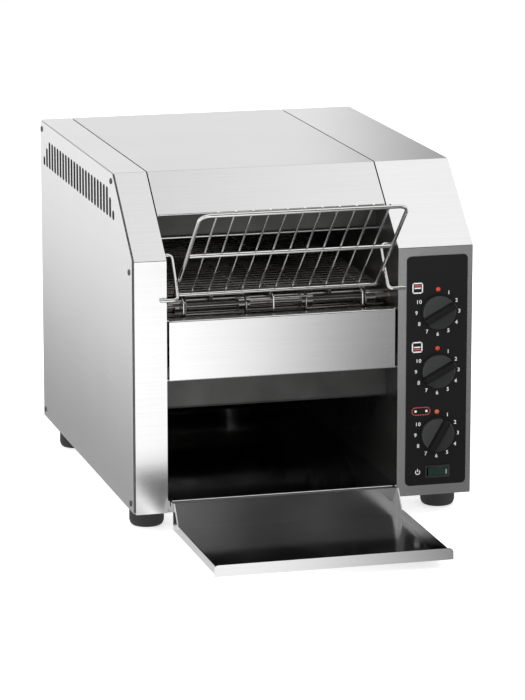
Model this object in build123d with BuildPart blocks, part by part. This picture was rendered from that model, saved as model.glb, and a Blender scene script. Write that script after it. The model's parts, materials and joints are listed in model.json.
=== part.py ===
from build123d import *
from math import atan2, cos, pi, radians, sin, tan
import os

# Counter-top conveyor toaster: bread leans on a wire rack at the front, rides a wire belt between two
# banks of heating rods, drops off the rear of the belt and slides down a chute to the outlet and the tray.
# Millimetres. +X to the viewer's right, +Y towards the rear, +Z up. The origin lies on the bench, under
# the middle of the whole machine with its tray.

# ---------------------------------------------------------------- body
body_width = 368.0
body_depth = 460.0
body_height = 371.0  # bench to the top of the hood
foot_height = 25.0
slope_depth = 89.0  # how far back the slope reaches the top
slope_foot_height = 293.4  # bench to the lower edge of the slope
left_column_width = 35.4
control_width = 83.0
tray_reach = 195.0  # tray in front of the body
gland_reach = 12.0  # cable gland behind the body

# ---------------------------------------------------------------- sheet metal
sheet = 1.2
sheet_bend = 1.6  # outer radius of a fold
hood_bend = 1.28
lap_gap = 0.2  # between sheets that lie on each other
seam_gap = 1.4  # open seam beside the hood
flange = 24.0  # folded edge behind a side panel
pan_wall = 16.0  # upstand of the base pan
panel_reveal_front = 6.0  # side panel set in from the front column
panel_reveal_slope = 3.0
panel_reveal_top = 1.6
rear_recess = 2.0  # rear panel set in from the rear edges
hood_flange = 10.0
hood_edge_set_back = 43.1  # lower edge of the hood on the slope, from the front plane
hood_return = 9.0  # fold under the hood's lower edge

# ---------------------------------------------------------------- side panel
vent_count = 25
vent_first = 88.8  # first slot, from the front plane
vent_last = 20.3  # last slot, from the rear plane
vent_width = 5.4
vent_drop = 48.0  # foot of the slots, below the top
vent_height = 27.7
vent_second_height = 18.5
vent_first_height = 7.0
panel_screw_radius = 1.9
panel_screw_head_radius = 3.2
panel_screw_head = 1.3
panel_screw_length = 9.0
screw_clearance = 0.3
screw_front_inset = 18.0
screw_rear_inset = 8.0
screw_top_inset = 10.0
screw_base_inset = 8.2
screw_foot_drop = 14.0  # front screw, below the foot of the slope

# ---------------------------------------------------------------- feet
foot_radius = 18.5
foot_base_radius = 12.0
foot_neck_radius = 15.5
foot_inset_left = 25.5
foot_inset_right = 20.0
foot_inset_front = 55.0
foot_inset_rear = 55.0
foot_screw_radius = 3.0
foot_screw_head_radius = 5.0
foot_screw_head = 3.0
foot_screw_length = 25.0
foot_screw_recess = 2.0  # screw head above the bench
foot_widest_low = 11.25  # the foot is widest from here
foot_widest_high = 17.5  # up to here

# ---------------------------------------------------------------- outlet chute
chute_height = 38.0  # bench to the outlet floor
chute_rear_gap = 12.0  # chute to rear panel
chute_top = 205.0
chute_radius = 85.0
chute_ramp_lean = 25.5  # foot of the ramp in front of its top
lip_drop = 12.6  # fold at the front of the outlet floor
wall_foot = 5.5  # fold at the bottom of a chamber wall

# ---------------------------------------------------------------- panel and shields between the openings
front_panel_set_back = 1.2
front_panel_bottom = 165.0
front_panel_height = 64.0
front_panel_gap = 2.9
front_panel_flange = 14.0
front_panel_notch = 5.0
shield_set_back = 40.0
shield_bottom = 126.0
shield_height = 46.0
shield_rear = 372.0
baffle_set_back = 80.0
baffle_bottom = 300.0
baffle_foot = 9.0
guard_rod_radius = 1.7
reflector_front = 96.0
reflector_rear = 398.0
reflector_height = 322.0
reflector_skirt = 17.0

# ---------------------------------------------------------------- belt
belt_pitch = 12.0
belt_rear_gap = 74.0  # rear shaft in front of the rear plane
nose_links = 3  # links around each end
belt_axis_set_back = 38.0
belt_axis_height = 236.0
belt_wire = 1.6
belt_link_gap = 0.5
belt_bends = 4
belt_end_run = 18.8  # outer run beyond the last bend
belt_side_gap = 8.8  # beside the belt
drum_clearance = 0.35
drum_width = 12.0
drum_count = 4
drum_margin = 16.0
shaft_radius = 4.0
shaft_clearance = 0.05
bush_radius = 8.0
bush_flange_radius = 11.0
bush_flange = 2.0
bush_clearance = 0.05
shaft_overhang = 8.0  # shaft end beyond a wall
rail_count = 3
rail_width = 3.0
rail_gap = 0.3
rail_end_gap = 3.0
tie_rod_radius = 3.0
tie_rod_set_in = 24.0  # from a belt axis
tie_rod_overhang = 4.0

# ---------------------------------------------------------------- heating rods
rod_radius = 3.5
rod_hole_clearance = 0.2
rod_overhang = 9.0
rod_stud_radius = 2.0
rod_stud = 8.0
upper_rod_height = 303.0
upper_rod_count = 4
upper_rod_first = 125.0
upper_rod_pitch = 78.0
lower_rod_height = 234.0
lower_rod_count = 3
lower_rod_first = 120.0
lower_rod_pitch = 92.0

# ---------------------------------------------------------------- drive
chain_plane = 15.0  # from the right chamber wall
drive_sprocket_radius = 24.0
drive_sprocket_teeth = 24
motor_sprocket_radius = 12.0
motor_sprocket_teeth = 12
tooth_depth = 2.6
tooth_tip = 0.25  # share of one tooth step
tooth_flank = 0.2
sprocket_width = 3.0
chain_clearance = 0.5
chain_height = 5.0
chain_width = 5.0
motor_set_back = 296.0
motor_axis_height = 165.0
gearbox_length = 62.0
gearbox_height = 52.0
gearbox_width = 26.0
gearbox_corner = 4.8
gearbox_drop = 13.0  # middle of the gearbox below its output shaft
motor_shaft_depth = 13.0  # output shaft inside the gearbox
motor_radius = 24.0
motor_length = 26.0
motor_shaft_radius = 4.0
bracket_reach = 24.0
bracket_thickness = 2.0
bracket_foot = 14.0

# ---------------------------------------------------------------- controls
overlay_thickness = 0.8
overlay_left_margin = 9.0
overlay_width = 67.0
overlay_bottom = 36.0
overlay_height = 248.0
overlay_corner = 5.0
dial_x_offset = -39.5  # dial centres, from the right side
upper_dial_height = 223.3
lower_dial_height = 159.8
speed_dial_height = 91.1
upper_dial_turn = 28.0  # grip above the horizontal
lower_dial_turn = 28.0
speed_dial_turn = 60.0
knob_radius = 18.0
knob_height = 14.0
knob_edge = 1.2
knob_gap = 0.5
knob_cut = 1.0  # how far the hollows are cut past the knob
grip_half_width = 3.0
grip_foot_half_width = 4.4
grip_foot_height = 7.0
knob_rim_height = 5.2
spindle_radius = 3.0
spindle_length = 24.0
spindle_seat = 10.0  # spindle inside the knob
spindle_fit = 0.02
spindle_clearance = 0.05
control_neck_radius = 5.0
control_neck_gap = 0.2
control_neck_stand = 1.6  # neck in front of the overlay
regulator_size = 42.0
regulator_depth = 30.0
speed_body_radius = 13.0
speed_body_depth = 18.0
lamp_radius = 2.5
lamp_rise = 24.3  # above a dial centre
lamp_stand = 1.6
lamp_depth = 14.0
lamp_gap = 0.1
lamp_edge = 0.96

# ---------------------------------------------------------------- power switch
switch_width = 27.0
switch_height = 13.0
switch_x_offset = -38.5
switch_centre_height = 50.5
switch_bezel = 1.2
switch_bezel_wall = 1.6
switch_bezel_corner = 1.0
switch_body_depth = 22.0
switch_body_inset = 0.8
rocker_gap = 0.35
rocker_tilt = 5.0
rocker_pin_radius = 1.2
rocker_pin_clearance = 0.05
rocker_peak = 1.1
rocker_pivot_depth = 3.0
rocker_pin_reach = 0.6
rocker_keel = 3.0
rocker_well = 9.0
rocker_flank_inset = 0.6
rocker_flank_depth = 0.5

# ---------------------------------------------------------------- cooling fan and rear panel
fan_size = 70.0
fan_depth = 25.0
fan_corner = 5.0
fan_bore_radius = 32.5
fan_tip_gap = 1.5
fan_hub_radius = 15.0
fan_blades = 5
fan_blade_thickness = 1.6
fan_blade_pitch = 40.0
fan_blade_root = 1.0  # blade inside the hub
fan_blade_share = 0.7  # of the rotor's depth
fan_pin_radius = 2.0
fan_pin_clearance = 0.05
fan_boss_radius = 12.0
fan_strut = 5.0
fan_strut_depth = 3.0
fan_x_offset = -42.5
fan_height = 250.0
rear_slot_count = 9
rear_slot_width = 4.0
rear_slot_pitch = 8.0
rear_slot_length = 52.0
gland_radius = 9.0
gland_nut_radius = 12.0
gland_nut = 4.0
gland_nut_sides = 6
gland_edge = 2.0
gland_bore_radius = 4.5
gland_x_offset = -34.0
gland_height = 58.0
gland_clearance = 0.2
terminal_length = 46.0
terminal_width = 22.0
terminal_height = 20.0
terminal_poles = 3
terminal_pocket_length = 7.7
terminal_pocket_width = 11.0
terminal_pocket_depth = 6.5

# ---------------------------------------------------------------- bread rack
rack_wire_radius = 2.0
rack_bar_radius = 1.1
rack_side_gap = 15.6  # from a chamber wall to the middle of a side wire
rack_foot_set_back = 29.0  # bottom wire, from the front plane
rack_foot_height = 250.4
rack_length = 152.0
rack_lean = 42.8  # above the horizontal
rack_corner = 10.0
rack_bar_count = 11
rack_bar_margin = 18.7  # from a side wire to the first bar
rack_middle_level = 75.5  # from the bottom wire to the middle wire
rack_weld_gap = 0.02  # between wires that are welded where they cross
rack_pivot_set_back = 26.0
rack_pivot_height = 293.6
rack_pivot_clearance = 0.1
rack_pin_overhang = 5.0
rack_tip_height = 251.8
rack_tip_reach = 7.0  # tip in front of a column
rack_tip_gap = 0.3
arm_bend = 5.0
leg_length = 19.0
leg_side_gap = 12.2  # from a side wire to an outer leg
leg_set_forward = 7.4
leg_offset = -4.6
leg_slant = 3.5
leg_bend = 2.5

# ---------------------------------------------------------------- catch tray
tray_sheet = 1.2
tray_side_gap = 2.6  # tray narrower than the opening
tray_floor_height = 10.0
tray_side_height = 9.0
tray_front_height = 12.0
tray_front_overhang = 2.5  # front wall beyond a side wall
tray_back_gap = 12.0  # back wall in front of the outlet lip
tray_back_top = 38.6
tray_ear_thickness = 1.5
tray_ear_reach = 5.0
tray_ear_height = 10.0
tray_ear_gap = 0.3
tray_ear_slot = 6.0
tray_corner = 4.5
tray_gusset_depth = 18.0  # side wall rises to the back wall over this depth
tray_gusset_top = 3.0

# ---------------------------------------------------------------- places worked out from the sizes
front_y = -(body_depth + gland_reach - tray_reach) / 2
rear_y = front_y + body_depth
left_x = -body_width / 2
right_x = body_width / 2
opening_left = left_x + left_column_width
opening_right = right_x - control_width
opening_x = (opening_left + opening_right) / 2
casing_left = left_x + sheet + lap_gap
casing_right = right_x - sheet - lap_gap
inside_left = opening_left + lap_gap
inside_right = opening_right - lap_gap
inside_width = inside_right - inside_left
half_opening = (opening_right - opening_left) / 2
base_top = foot_height + sheet
slope_angle = atan2(body_height - slope_foot_height, slope_depth)
rear_panel_y = rear_y - rear_recess - sheet
vent_bottom = body_height - vent_drop
vent_pitch = (body_depth - vent_first - vent_last) / (vent_count - 1)

front_axis_y = front_y + belt_axis_set_back
belt_rows = round((body_depth - belt_axis_set_back - belt_rear_gap) / belt_pitch)  # links in a straight run
rear_axis_y = front_axis_y + belt_rows * belt_pitch
link_turn = pi / nose_links
hinge_radius = belt_pitch / (2 * sin(link_turn / 2))
drum_radius = hinge_radius * cos(link_turn / 2) - belt_wire / 2 - drum_clearance
belt_section = (inside_width - 2 * (belt_side_gap + belt_end_run)) / (belt_bends - 1)
belt_top = belt_axis_height + hinge_radius
rail_top = belt_top - belt_wire / 2 - rail_gap
rail_bottom = belt_axis_height + tie_rod_radius + lap_gap

dial_x = right_x + dial_x_offset
overlay_front_y = front_y - overlay_thickness
rack_pivot_y = front_y + rack_pivot_set_back
rack_foot_y = front_y + rack_foot_set_back
rack_half_width = half_opening - rack_side_gap
rack_bar_pitch = 2 * (rack_half_width - rack_bar_margin) / (rack_bar_count - 1)
leg_spread = rack_half_width - leg_side_gap
arm_x = rack_half_width + 2 * rack_wire_radius + rack_weld_gap
chain_x = opening_right + sheet + chain_plane
motor_axis_y = front_y + motor_set_back
fan_x = right_x + fan_x_offset
gland_x = right_x + gland_x_offset
switch_x = right_x + switch_x_offset
tray_front_y = front_y - tray_reach
tray_back_y = front_y - tray_back_gap
tray_half_width = half_opening - tray_side_gap
ear_x = tray_half_width - tray_ear_thickness / 2
gearbox_x = opening_right + sheet + lap_gap + bracket_reach
fan_plane_y = rear_panel_y - lap_gap
switch_body_width = switch_width - 2 * switch_body_inset
switch_body_height = switch_height - 2 * switch_body_inset

foot_xs = [left_x + foot_inset_left, right_x - foot_inset_right]
foot_ys = [front_y + foot_inset_front, rear_y - foot_inset_rear]
dial_heights = [upper_dial_height, lower_dial_height, speed_dial_height]
tie_rod_ys = [front_axis_y + tie_rod_set_in, rear_axis_y - tie_rod_set_in]
rod_rows = [
    (upper_rod_height, upper_rod_first, upper_rod_pitch, upper_rod_count),
    (lower_rod_height, lower_rod_first, lower_rod_pitch, lower_rod_count),
]
panel_screws_at = [
    (front_y + screw_front_inset, slope_foot_height - screw_foot_drop),
    (front_y + screw_front_inset, foot_height + screw_base_inset),
    (front_y + slope_depth + screw_top_inset, body_height - screw_top_inset),
    (rear_y - screw_rear_inset, body_height - screw_top_inset),
    (rear_y - screw_rear_inset, foot_height + screw_base_inset),
]
low_end = (Align.CENTER, Align.CENTER, Align.MIN)


def slope_z(y, inset):
    """Height of the slope at y, set in by inset square to the slope."""
    return slope_foot_height + (y - front_y) * tan(slope_angle) - inset / cos(slope_angle)


def slope_y(z, inset):
    """Place along Y where the set-in slope has height z."""
    return front_y + (z - slope_foot_height + inset / cos(slope_angle)) / tan(slope_angle)


def body_outline(front, slope, top, rear, bottom):
    """Corners of the body's side view as (Y, Z), set in from each side, down to the height bottom."""
    low_y = front_y + front
    high_z = body_height - top
    back_y = rear_y - rear
    return [
        (low_y, bottom),
        (low_y, slope_z(low_y, slope)),
        (slope_y(high_z, slope), high_z),
        (back_y, high_z),
        (back_y, bottom),
    ]


def bent_strip(points, radius, thickness, side):
    """Draw the edge view of a bent sheet: its outer line, its folds and its thickness to one side."""
    with BuildLine() as edge_view:
        FilletPolyline(*points, radius=radius)
        offset(amount=thickness, side=side)
    make_face(edge_view.edges())


def control_holes(mode):
    """Draw the holes that the dials, the lamps and the power switch need in the fascia."""
    with Locations(*[(dial_x, z) for z in dial_heights]):
        Circle(control_neck_radius + control_neck_gap, mode=mode)
    with Locations(*[(dial_x, z + lamp_rise) for z in dial_heights]):
        Circle(lamp_radius + lamp_gap, mode=mode)
    with Locations((switch_x, switch_centre_height)):
        Rectangle(switch_body_width + 2 * lap_gap, switch_body_height + 2 * lap_gap, mode=mode)


def facing_front(x, y, z):
    """A plane that faces the viewer: its x runs along +X and its y along +Z."""
    return Plane(origin=(x, y, z), x_dir=(1, 0, 0), z_dir=(0, -1, 0))


# ---------------------------------------------------------------- casing
def make_base_pan():
    """Flat pan with upstands, which carries the feet, the walls and the casings."""
    side_x = casing_right - sheet - lap_gap
    pan_front = front_y + sheet + lap_gap
    pan_rear = rear_panel_y - lap_gap
    middle_y = (pan_front + pan_rear) / 2
    with BuildPart() as base_pan:
        with BuildSketch(Plane.XY.offset(foot_height)):
            with Locations((0, middle_y)):
                Rectangle(2 * side_x, pan_rear - pan_front)
        extrude(amount=sheet)
        with BuildSketch(Plane.XY.offset(base_top)):
            with Locations((0, middle_y)):
                Rectangle(2 * side_x, pan_rear - pan_front)
                Rectangle(2 * (side_x - sheet), pan_rear - pan_front - 2 * sheet, mode=Mode.SUBTRACT)
        extrude(amount=pan_wall)
        with Locations(
            *[(x, y, base_top) for x in foot_xs for y in foot_ys]
        ):
            Hole(foot_screw_radius + screw_clearance)
        for y, z in panel_screws_at:
            if z < base_top + pan_wall:
                with Locations(Plane.YZ):
                    with Locations((y, z)):
                        Hole(panel_screw_radius + screw_clearance)
        # the front upstand is lowered behind the outlet, where the chute's lip and the tray's ears sit
        with BuildSketch(Plane.XY.offset(base_top + lap_gap)):
            with Locations((opening_x, pan_front)):
                Rectangle(inside_width + 4 * sheet, 8 * sheet)
        extrude(amount=pan_wall, mode=Mode.SUBTRACT)
    base_pan.part.label = "base_pan"
    export_step(base_pan.part, "parts/base_pan.step")


def make_casing_sheet(outer_x, inner_x):
    """Front, slope and top of a side casing as one bent sheet, folded in where its panel is screwed on."""
    low_x = min(outer_x, inner_x)
    with BuildPart() as casing:
        with BuildSketch(Plane.YZ.offset(low_x)):
            corners = body_outline(0, 0, 0, sheet / 2, foot_height)[:4]
            bent_strip(corners, sheet_bend, sheet, Side.RIGHT)
        extrude(amount=abs(inner_x - outer_x))
        with BuildSketch(Plane.YZ.offset(low_x if outer_x < inner_x else outer_x - sheet)):
            half = sheet / 2
            Polygon(*body_outline(half, half, half, sheet / 2, foot_height), align=None)
            inner_edge = body_outline(flange, flange, flange, -sheet, foot_height - sheet)
            Polygon(*inner_edge, align=None, mode=Mode.SUBTRACT)
        extrude(amount=sheet)
        with BuildSketch(Plane.YZ) as holes:
            with Locations(*panel_screws_at):
                Circle(panel_screw_radius + screw_clearance)
        extrude(amount=outer_x + (2 * sheet if outer_x > inner_x else -2 * sheet), mode=Mode.SUBTRACT)
    return casing


def make_left_casing():
    left_casing = make_casing_sheet(casing_left, opening_left)
    left_casing.part.label = "left_casing"
    export_step(left_casing.part, "parts/left_casing.step")


def make_right_casing():
    """The wider casing, whose front carries the controls."""
    sheet_part = make_casing_sheet(casing_right, opening_right)
    with BuildPart() as right_casing:
        add(sheet_part.part)
        with BuildSketch(facing_front(0, front_y, 0)):
            control_holes(Mode.ADD)
        extrude(amount=-2 * sheet, mode=Mode.SUBTRACT)
    right_casing.part.label = "right_casing"
    export_step(right_casing.part, "parts/right_casing.step")


def make_side_panel(name, outer_x, inward):
    """Flat side panel with a row of vent slots that steps down at both ends."""
    heights = [vent_height] * vent_count
    heights[0] = heights[-1] = vent_first_height
    heights[1] = heights[-2] = vent_second_height
    with BuildPart() as side_panel:
        with BuildSketch(Plane.YZ.offset(outer_x)):
            outline = body_outline(panel_reveal_front, panel_reveal_slope, panel_reveal_top, 0, foot_height)
            Polygon(*outline, align=None)
            for index, height in enumerate(heights):
                with Locations((front_y + vent_first + index * vent_pitch, vent_bottom + height / 2)):
                    Rectangle(vent_width, height, mode=Mode.SUBTRACT)
            with Locations(*panel_screws_at):
                Circle(panel_screw_radius + screw_clearance, mode=Mode.SUBTRACT)
        extrude(amount=inward * sheet)
    side_panel.part.label = name
    export_step(side_panel.part, f"parts/{name}.step")


def make_panel_screws():
    """Pan-head screws of both side panels."""
    with BuildPart() as panel_screws:
        for side_x, inward in ((left_x, 1), (right_x, -1)):
            with BuildSketch(Plane.YZ.offset(side_x)):
                with Locations(*panel_screws_at):
                    Circle(panel_screw_radius)
            extrude(amount=inward * panel_screw_length)
            with BuildSketch(Plane.YZ.offset(side_x)):
                with Locations(*panel_screws_at):
                    Circle(panel_screw_head_radius)
            extrude(amount=-inward * panel_screw_head)
    panel_screws.part.label = "side_panel_screws"
    export_step(panel_screws.part, "parts/side_panel_screws.step")


def make_hood():
    """Centre cover between the casings: top, upper half of the slope, a fold under its edge, side folds."""
    hood_left = opening_left + seam_gap
    hood_right = opening_right - seam_gap
    edge_y = front_y + hood_edge_set_back
    hood_edge_height = slope_z(edge_y, 0)
    with BuildPart() as hood:
        with BuildSketch(Plane.YZ.offset(hood_left)):
            corners = [
                (edge_y + hood_return, hood_edge_height),
                (edge_y, hood_edge_height),
                (front_y + slope_depth, body_height),
                (rear_y - sheet / 2, body_height),
            ]
            bent_strip(corners, hood_bend, sheet, Side.RIGHT)
        extrude(amount=hood_right - hood_left)
        for side_x in (hood_left, hood_right - sheet):
            with BuildSketch(Plane.YZ.offset(side_x)):
                fold_rear = rear_recess + sheet + lap_gap
                outer_edge = body_outline(0, sheet / 2, sheet / 2, fold_rear, foot_height)
                inner_edge = body_outline(-sheet, hood_flange, hood_flange, -sheet, 0)
                Polygon(*outer_edge, align=None)
                Polygon(*inner_edge, align=None, mode=Mode.SUBTRACT)
                with Locations((front_y, (hood_edge_height + sheet / 2) / 2)):
                    Rectangle(2 * body_depth, hood_edge_height + sheet / 2, mode=Mode.SUBTRACT)
            extrude(amount=sheet)
    hood.part.label = "hood"
    export_step(hood.part, "parts/hood.step")


def make_rear_panel():
    """Flat recessed rear panel with slots over the fan and a hole for the cable gland."""
    half_width = casing_right - sheet - lap_gap
    bottom = base_top + lap_gap
    top = body_height - sheet - lap_gap
    rear_face = Plane(origin=(0, rear_panel_y + sheet, 0), x_dir=(1, 0, 0), z_dir=(0, -1, 0))
    with BuildPart() as rear_panel:
        with BuildSketch(rear_face):
            with Locations((0, (bottom + top) / 2)):
                Rectangle(2 * half_width, top - bottom)
            with Locations((fan_x, fan_height)):
                with GridLocations(0, rear_slot_pitch, 1, rear_slot_count):
                    Rectangle(rear_slot_length, rear_slot_width, mode=Mode.SUBTRACT)
            with Locations((gland_x, gland_height)):
                Circle(gland_radius + gland_clearance, mode=Mode.SUBTRACT)
        extrude(amount=sheet)
    rear_panel.part.label = "rear_panel"
    export_step(rear_panel.part, "parts/rear_panel.step")


def make_feet():
    """Rubber feet, each a turned block with a counterbored hole for its screw."""
    profile = [
        (0, 0),
        (foot_base_radius, 0),
        (foot_radius, foot_widest_low),
        (foot_radius, foot_widest_high),
        (foot_neck_radius, foot_height),
        (0, foot_height),
    ]
    with BuildPart() as foot:
        with BuildSketch(Plane.XZ):
            Polygon(*profile, align=None)
        revolve(axis=Axis.Z)
        head_room = foot_screw_recess + foot_screw_head + lap_gap
        Cylinder(foot_screw_radius + lap_gap, foot_height, align=low_end, mode=Mode.SUBTRACT)
        Cylinder(foot_screw_head_radius + lap_gap, head_room, align=low_end, mode=Mode.SUBTRACT)
    with BuildPart() as screw:
        with Locations((0, 0, foot_screw_recess)):
            Cylinder(foot_screw_head_radius, foot_screw_head, align=low_end)
        with Locations((0, 0, foot_screw_recess + foot_screw_head)):
            Cylinder(foot_screw_radius, foot_screw_length, align=low_end)
    places = [Location((x, y, 0)) for x in foot_xs for y in foot_ys]
    with BuildPart() as feet:
        with Locations(*places):
            add(foot.part)
    feet.part.label = "feet"
    export_step(feet.part, "parts/feet.step")
    with BuildPart() as foot_screws:
        with Locations(*places):
            add(screw.part)
    foot_screws.part.label = "foot_screws"
    export_step(foot_screws.part, "parts/foot_screws.step")


# ---------------------------------------------------------------- chamber
def make_chamber_wall(name, inner_x, outward):
    """Side wall of the toasting chamber: holes for shafts, rods and the rack's pivot, and a folded foot."""
    cover = sheet + lap_gap
    wall_bottom = base_top + lap_gap
    with BuildPart() as chamber_wall:
        with BuildSketch(Plane.YZ.offset(inner_x)):
            Polygon(*body_outline(cover, cover, cover, rear_recess + 2 * cover, wall_bottom), align=None)
            with Locations((rack_pivot_y, rack_pivot_height)):
                Circle(rack_wire_radius + rack_pivot_clearance, mode=Mode.SUBTRACT)
            with Locations((front_axis_y, belt_axis_height), (rear_axis_y, belt_axis_height)):
                Circle(bush_radius + bush_clearance, mode=Mode.SUBTRACT)
            with Locations(*[(y, belt_axis_height) for y in tie_rod_ys]):
                Circle(tie_rod_radius + screw_clearance, mode=Mode.SUBTRACT)
            for height, first, pitch, count in rod_rows:
                with Locations(*[(front_y + first + i * pitch, height) for i in range(count)]):
                    Circle(rod_radius + rod_hole_clearance, mode=Mode.SUBTRACT)
        extrude(amount=outward * sheet)
        with BuildSketch(Plane.YZ.offset(inner_x + outward * sheet)):
            with Locations(((front_y + rear_y) / 2, wall_bottom + sheet / 2)):
                Rectangle(body_depth - 2 * flange, sheet)
        extrude(amount=outward * wall_foot)
    chamber_wall.part.label = name
    export_step(chamber_wall.part, f"parts/{name}.step")


def make_toast_chute():
    """Outlet floor: a folded lip at the front, a level slide and a curved ramp under the belt's rear end."""
    back = rear_panel_y - chute_rear_gap
    lip_bottom = chute_height - lip_drop
    with BuildPart() as toast_chute:
        with BuildSketch(Plane.YZ.offset(inside_left)):
            corners = [
                (front_y, lip_bottom),
                (front_y, chute_height),
                (back - chute_ramp_lean, chute_height),
                (back, chute_top),
            ]
            bent_strip(corners, (sheet_bend, chute_radius), sheet, Side.RIGHT)
        extrude(amount=inside_width)
        # slots that take the tray's ears
        with BuildSketch(Plane.XY.offset(chute_height)):
            slot_depth = sheet + tray_ear_reach + 2 * tray_ear_gap
            with Locations(*[(opening_x + s * ear_x, front_y) for s in (-1, 1)]):
                Rectangle(tray_ear_thickness + 4 * tray_ear_gap, 2 * slot_depth)
        extrude(amount=-tray_ear_slot, mode=Mode.SUBTRACT)
    toast_chute.part.label = "toast_chute"
    export_step(toast_chute.part, "parts/toast_chute.step")


def make_front_panel():
    """Recessed panel between the bread inlet and the toast outlet, folded at top and bottom."""
    face_y = front_y + front_panel_set_back
    top = front_panel_bottom + front_panel_height
    with BuildPart() as middle_front_panel:
        with BuildSketch(Plane.YZ.offset(inside_left)):
            corners = [
                (face_y + front_panel_flange, front_panel_bottom),
                (face_y, front_panel_bottom),
                (face_y, top),
                (face_y + front_panel_flange, top),
            ]
            bent_strip(corners, sheet_bend, sheet, Side.RIGHT)
        extrude(amount=inside_width)
        with BuildSketch(Plane.XY.offset(front_panel_bottom)):
            with Locations(*[(x, face_y) for x in (inside_left, inside_right)]):
                Rectangle(2 * (front_panel_gap - lap_gap), 2 * front_panel_notch)
        extrude(amount=front_panel_height, mode=Mode.SUBTRACT)
    middle_front_panel.part.label = "middle_front_panel"
    export_step(middle_front_panel.part, "parts/middle_front_panel.step")


def make_lower_shield():
    """Heat shield under the belt, folded up in front and behind, so the toast slides below it."""
    shield_front_y = front_y + shield_set_back
    with BuildPart() as lower_heat_shield:
        with BuildSketch(Plane.YZ.offset(inside_left)):
            corners = [
                (shield_front_y, shield_bottom + shield_height),
                (shield_front_y, shield_bottom),
                (front_y + shield_rear, shield_bottom),
                (front_y + shield_rear, shield_bottom + shield_height),
            ]
            bent_strip(corners, 2 * sheet_bend, sheet, Side.LEFT)
        extrude(amount=inside_width)
    lower_heat_shield.part.label = "lower_heat_shield"
    export_step(lower_heat_shield.part, "parts/lower_heat_shield.step")


def make_inlet_baffle():
    """Dark baffle that hangs inside the hood in front of the upper heating rods."""
    baffle_y = front_y + baffle_set_back
    with BuildPart() as inlet_baffle:
        with BuildSketch(Plane.YZ.offset(inside_left)):
            corners = [
                (baffle_y, slope_z(baffle_y, sheet + hood_flange + lap_gap)),
                (baffle_y, baffle_bottom),
                (baffle_y + baffle_foot, baffle_bottom),
            ]
            bent_strip(corners, sheet_bend, sheet, Side.LEFT)
        extrude(amount=inside_width)
    inlet_baffle.part.label = "inlet_baffle"
    export_step(inlet_baffle.part, "parts/inlet_baffle.step")


def make_guard_rod():
    """Bright rod along the lower edge of the baffle."""
    rod_y = front_y + baffle_set_back - guard_rod_radius - lap_gap
    with BuildPart() as inlet_guard_rod:
        with BuildSketch(Plane.YZ.offset(inside_left)):
            with Locations((rod_y, baffle_bottom + guard_rod_radius)):
                Circle(guard_rod_radius)
        extrude(amount=inside_width)
    inlet_guard_rod.part.label = "inlet_guard_rod"
    export_step(inlet_guard_rod.part, "parts/inlet_guard_rod.step")


def make_upper_reflector():
    """Reflector over the upper heating rods, with skirts in front and behind."""
    skirt_bottom = reflector_height - reflector_skirt
    with BuildPart() as upper_reflector:
        with BuildSketch(Plane.YZ.offset(inside_left)):
            corners = [
                (front_y + reflector_front, skirt_bottom),
                (front_y + reflector_front, reflector_height),
                (front_y + reflector_rear, reflector_height),
                (front_y + reflector_rear, skirt_bottom),
            ]
            bent_strip(corners, 2 * sheet_bend, sheet, Side.RIGHT)
        extrude(amount=inside_width)
    upper_reflector.part.label = "upper_reflector"
    export_step(upper_reflector.part, "parts/upper_reflector.step")


def make_heating_rods(name, row):
    """Sheathed rods across the chamber, with a terminal stud at each right-hand end."""
    height, first, pitch, count = row
    start_x = opening_left - sheet - rod_overhang
    end_x = opening_right + sheet + rod_overhang
    places = [(front_y + first + i * pitch, height) for i in range(count)]
    with BuildPart() as heating_rods:
        with BuildSketch(Plane.YZ.offset(start_x)):
            with Locations(*places):
                Circle(rod_radius)
        extrude(amount=end_x - start_x)
        with BuildSketch(Plane.YZ.offset(end_x)):
            with Locations(*places):
                Circle(rod_stud_radius)
        extrude(amount=rod_stud)
    heating_rods.part.label = name
    export_step(heating_rods.part, f"parts/{name}.step")


# ---------------------------------------------------------------- belt
def draw_belt_wire():
    """Draw one belt wire flat: level runs that jog forward and back across the belt."""
    jog = belt_pitch - belt_wire - belt_link_gap
    half_bends = (belt_bends - 1) / 2
    bend_xs = [(index - half_bends) * belt_section for index in range(belt_bends)]
    stops = [bend_xs[0] - belt_end_run] + bend_xs + [bend_xs[-1] + belt_end_run]
    for index, (start, end) in enumerate(zip(stops, stops[1:])):
        with Locations(((start + end) / 2, jog * (index % 2))):
            Rectangle(end - start + belt_wire, belt_wire)
    with Locations(*[(x, jog / 2) for x in bend_xs]):
        Rectangle(belt_wire, jog)


def make_wire_belt():
    """Endless belt of flat bent wires: two level runs joined by three links round each nose."""
    half_turn = [-(k + 0.5) * link_turn for k in range(nose_links)]
    headings = [0.0] * belt_rows + half_turn + [-pi] * belt_rows + [turn - pi for turn in half_turn]
    with BuildPart() as wire:
        with BuildSketch(Plane.XY):
            draw_belt_wire()
        extrude(amount=belt_wire / 2, both=True)
    places = []
    y = front_axis_y
    z = belt_top
    for heading in headings:
        square = (0, -sin(heading), cos(heading))
        places.append(Location(Plane(origin=(opening_x, y, z), x_dir=(1, 0, 0), z_dir=square)))
        y += belt_pitch * cos(heading)
        z += belt_pitch * sin(heading)
    with BuildPart() as wire_belt:
        with Locations(*places):
            add(wire.part)
    wire_belt.part.label = "wire_belt"
    export_step(wire_belt.part, "parts/wire_belt.step")


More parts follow.
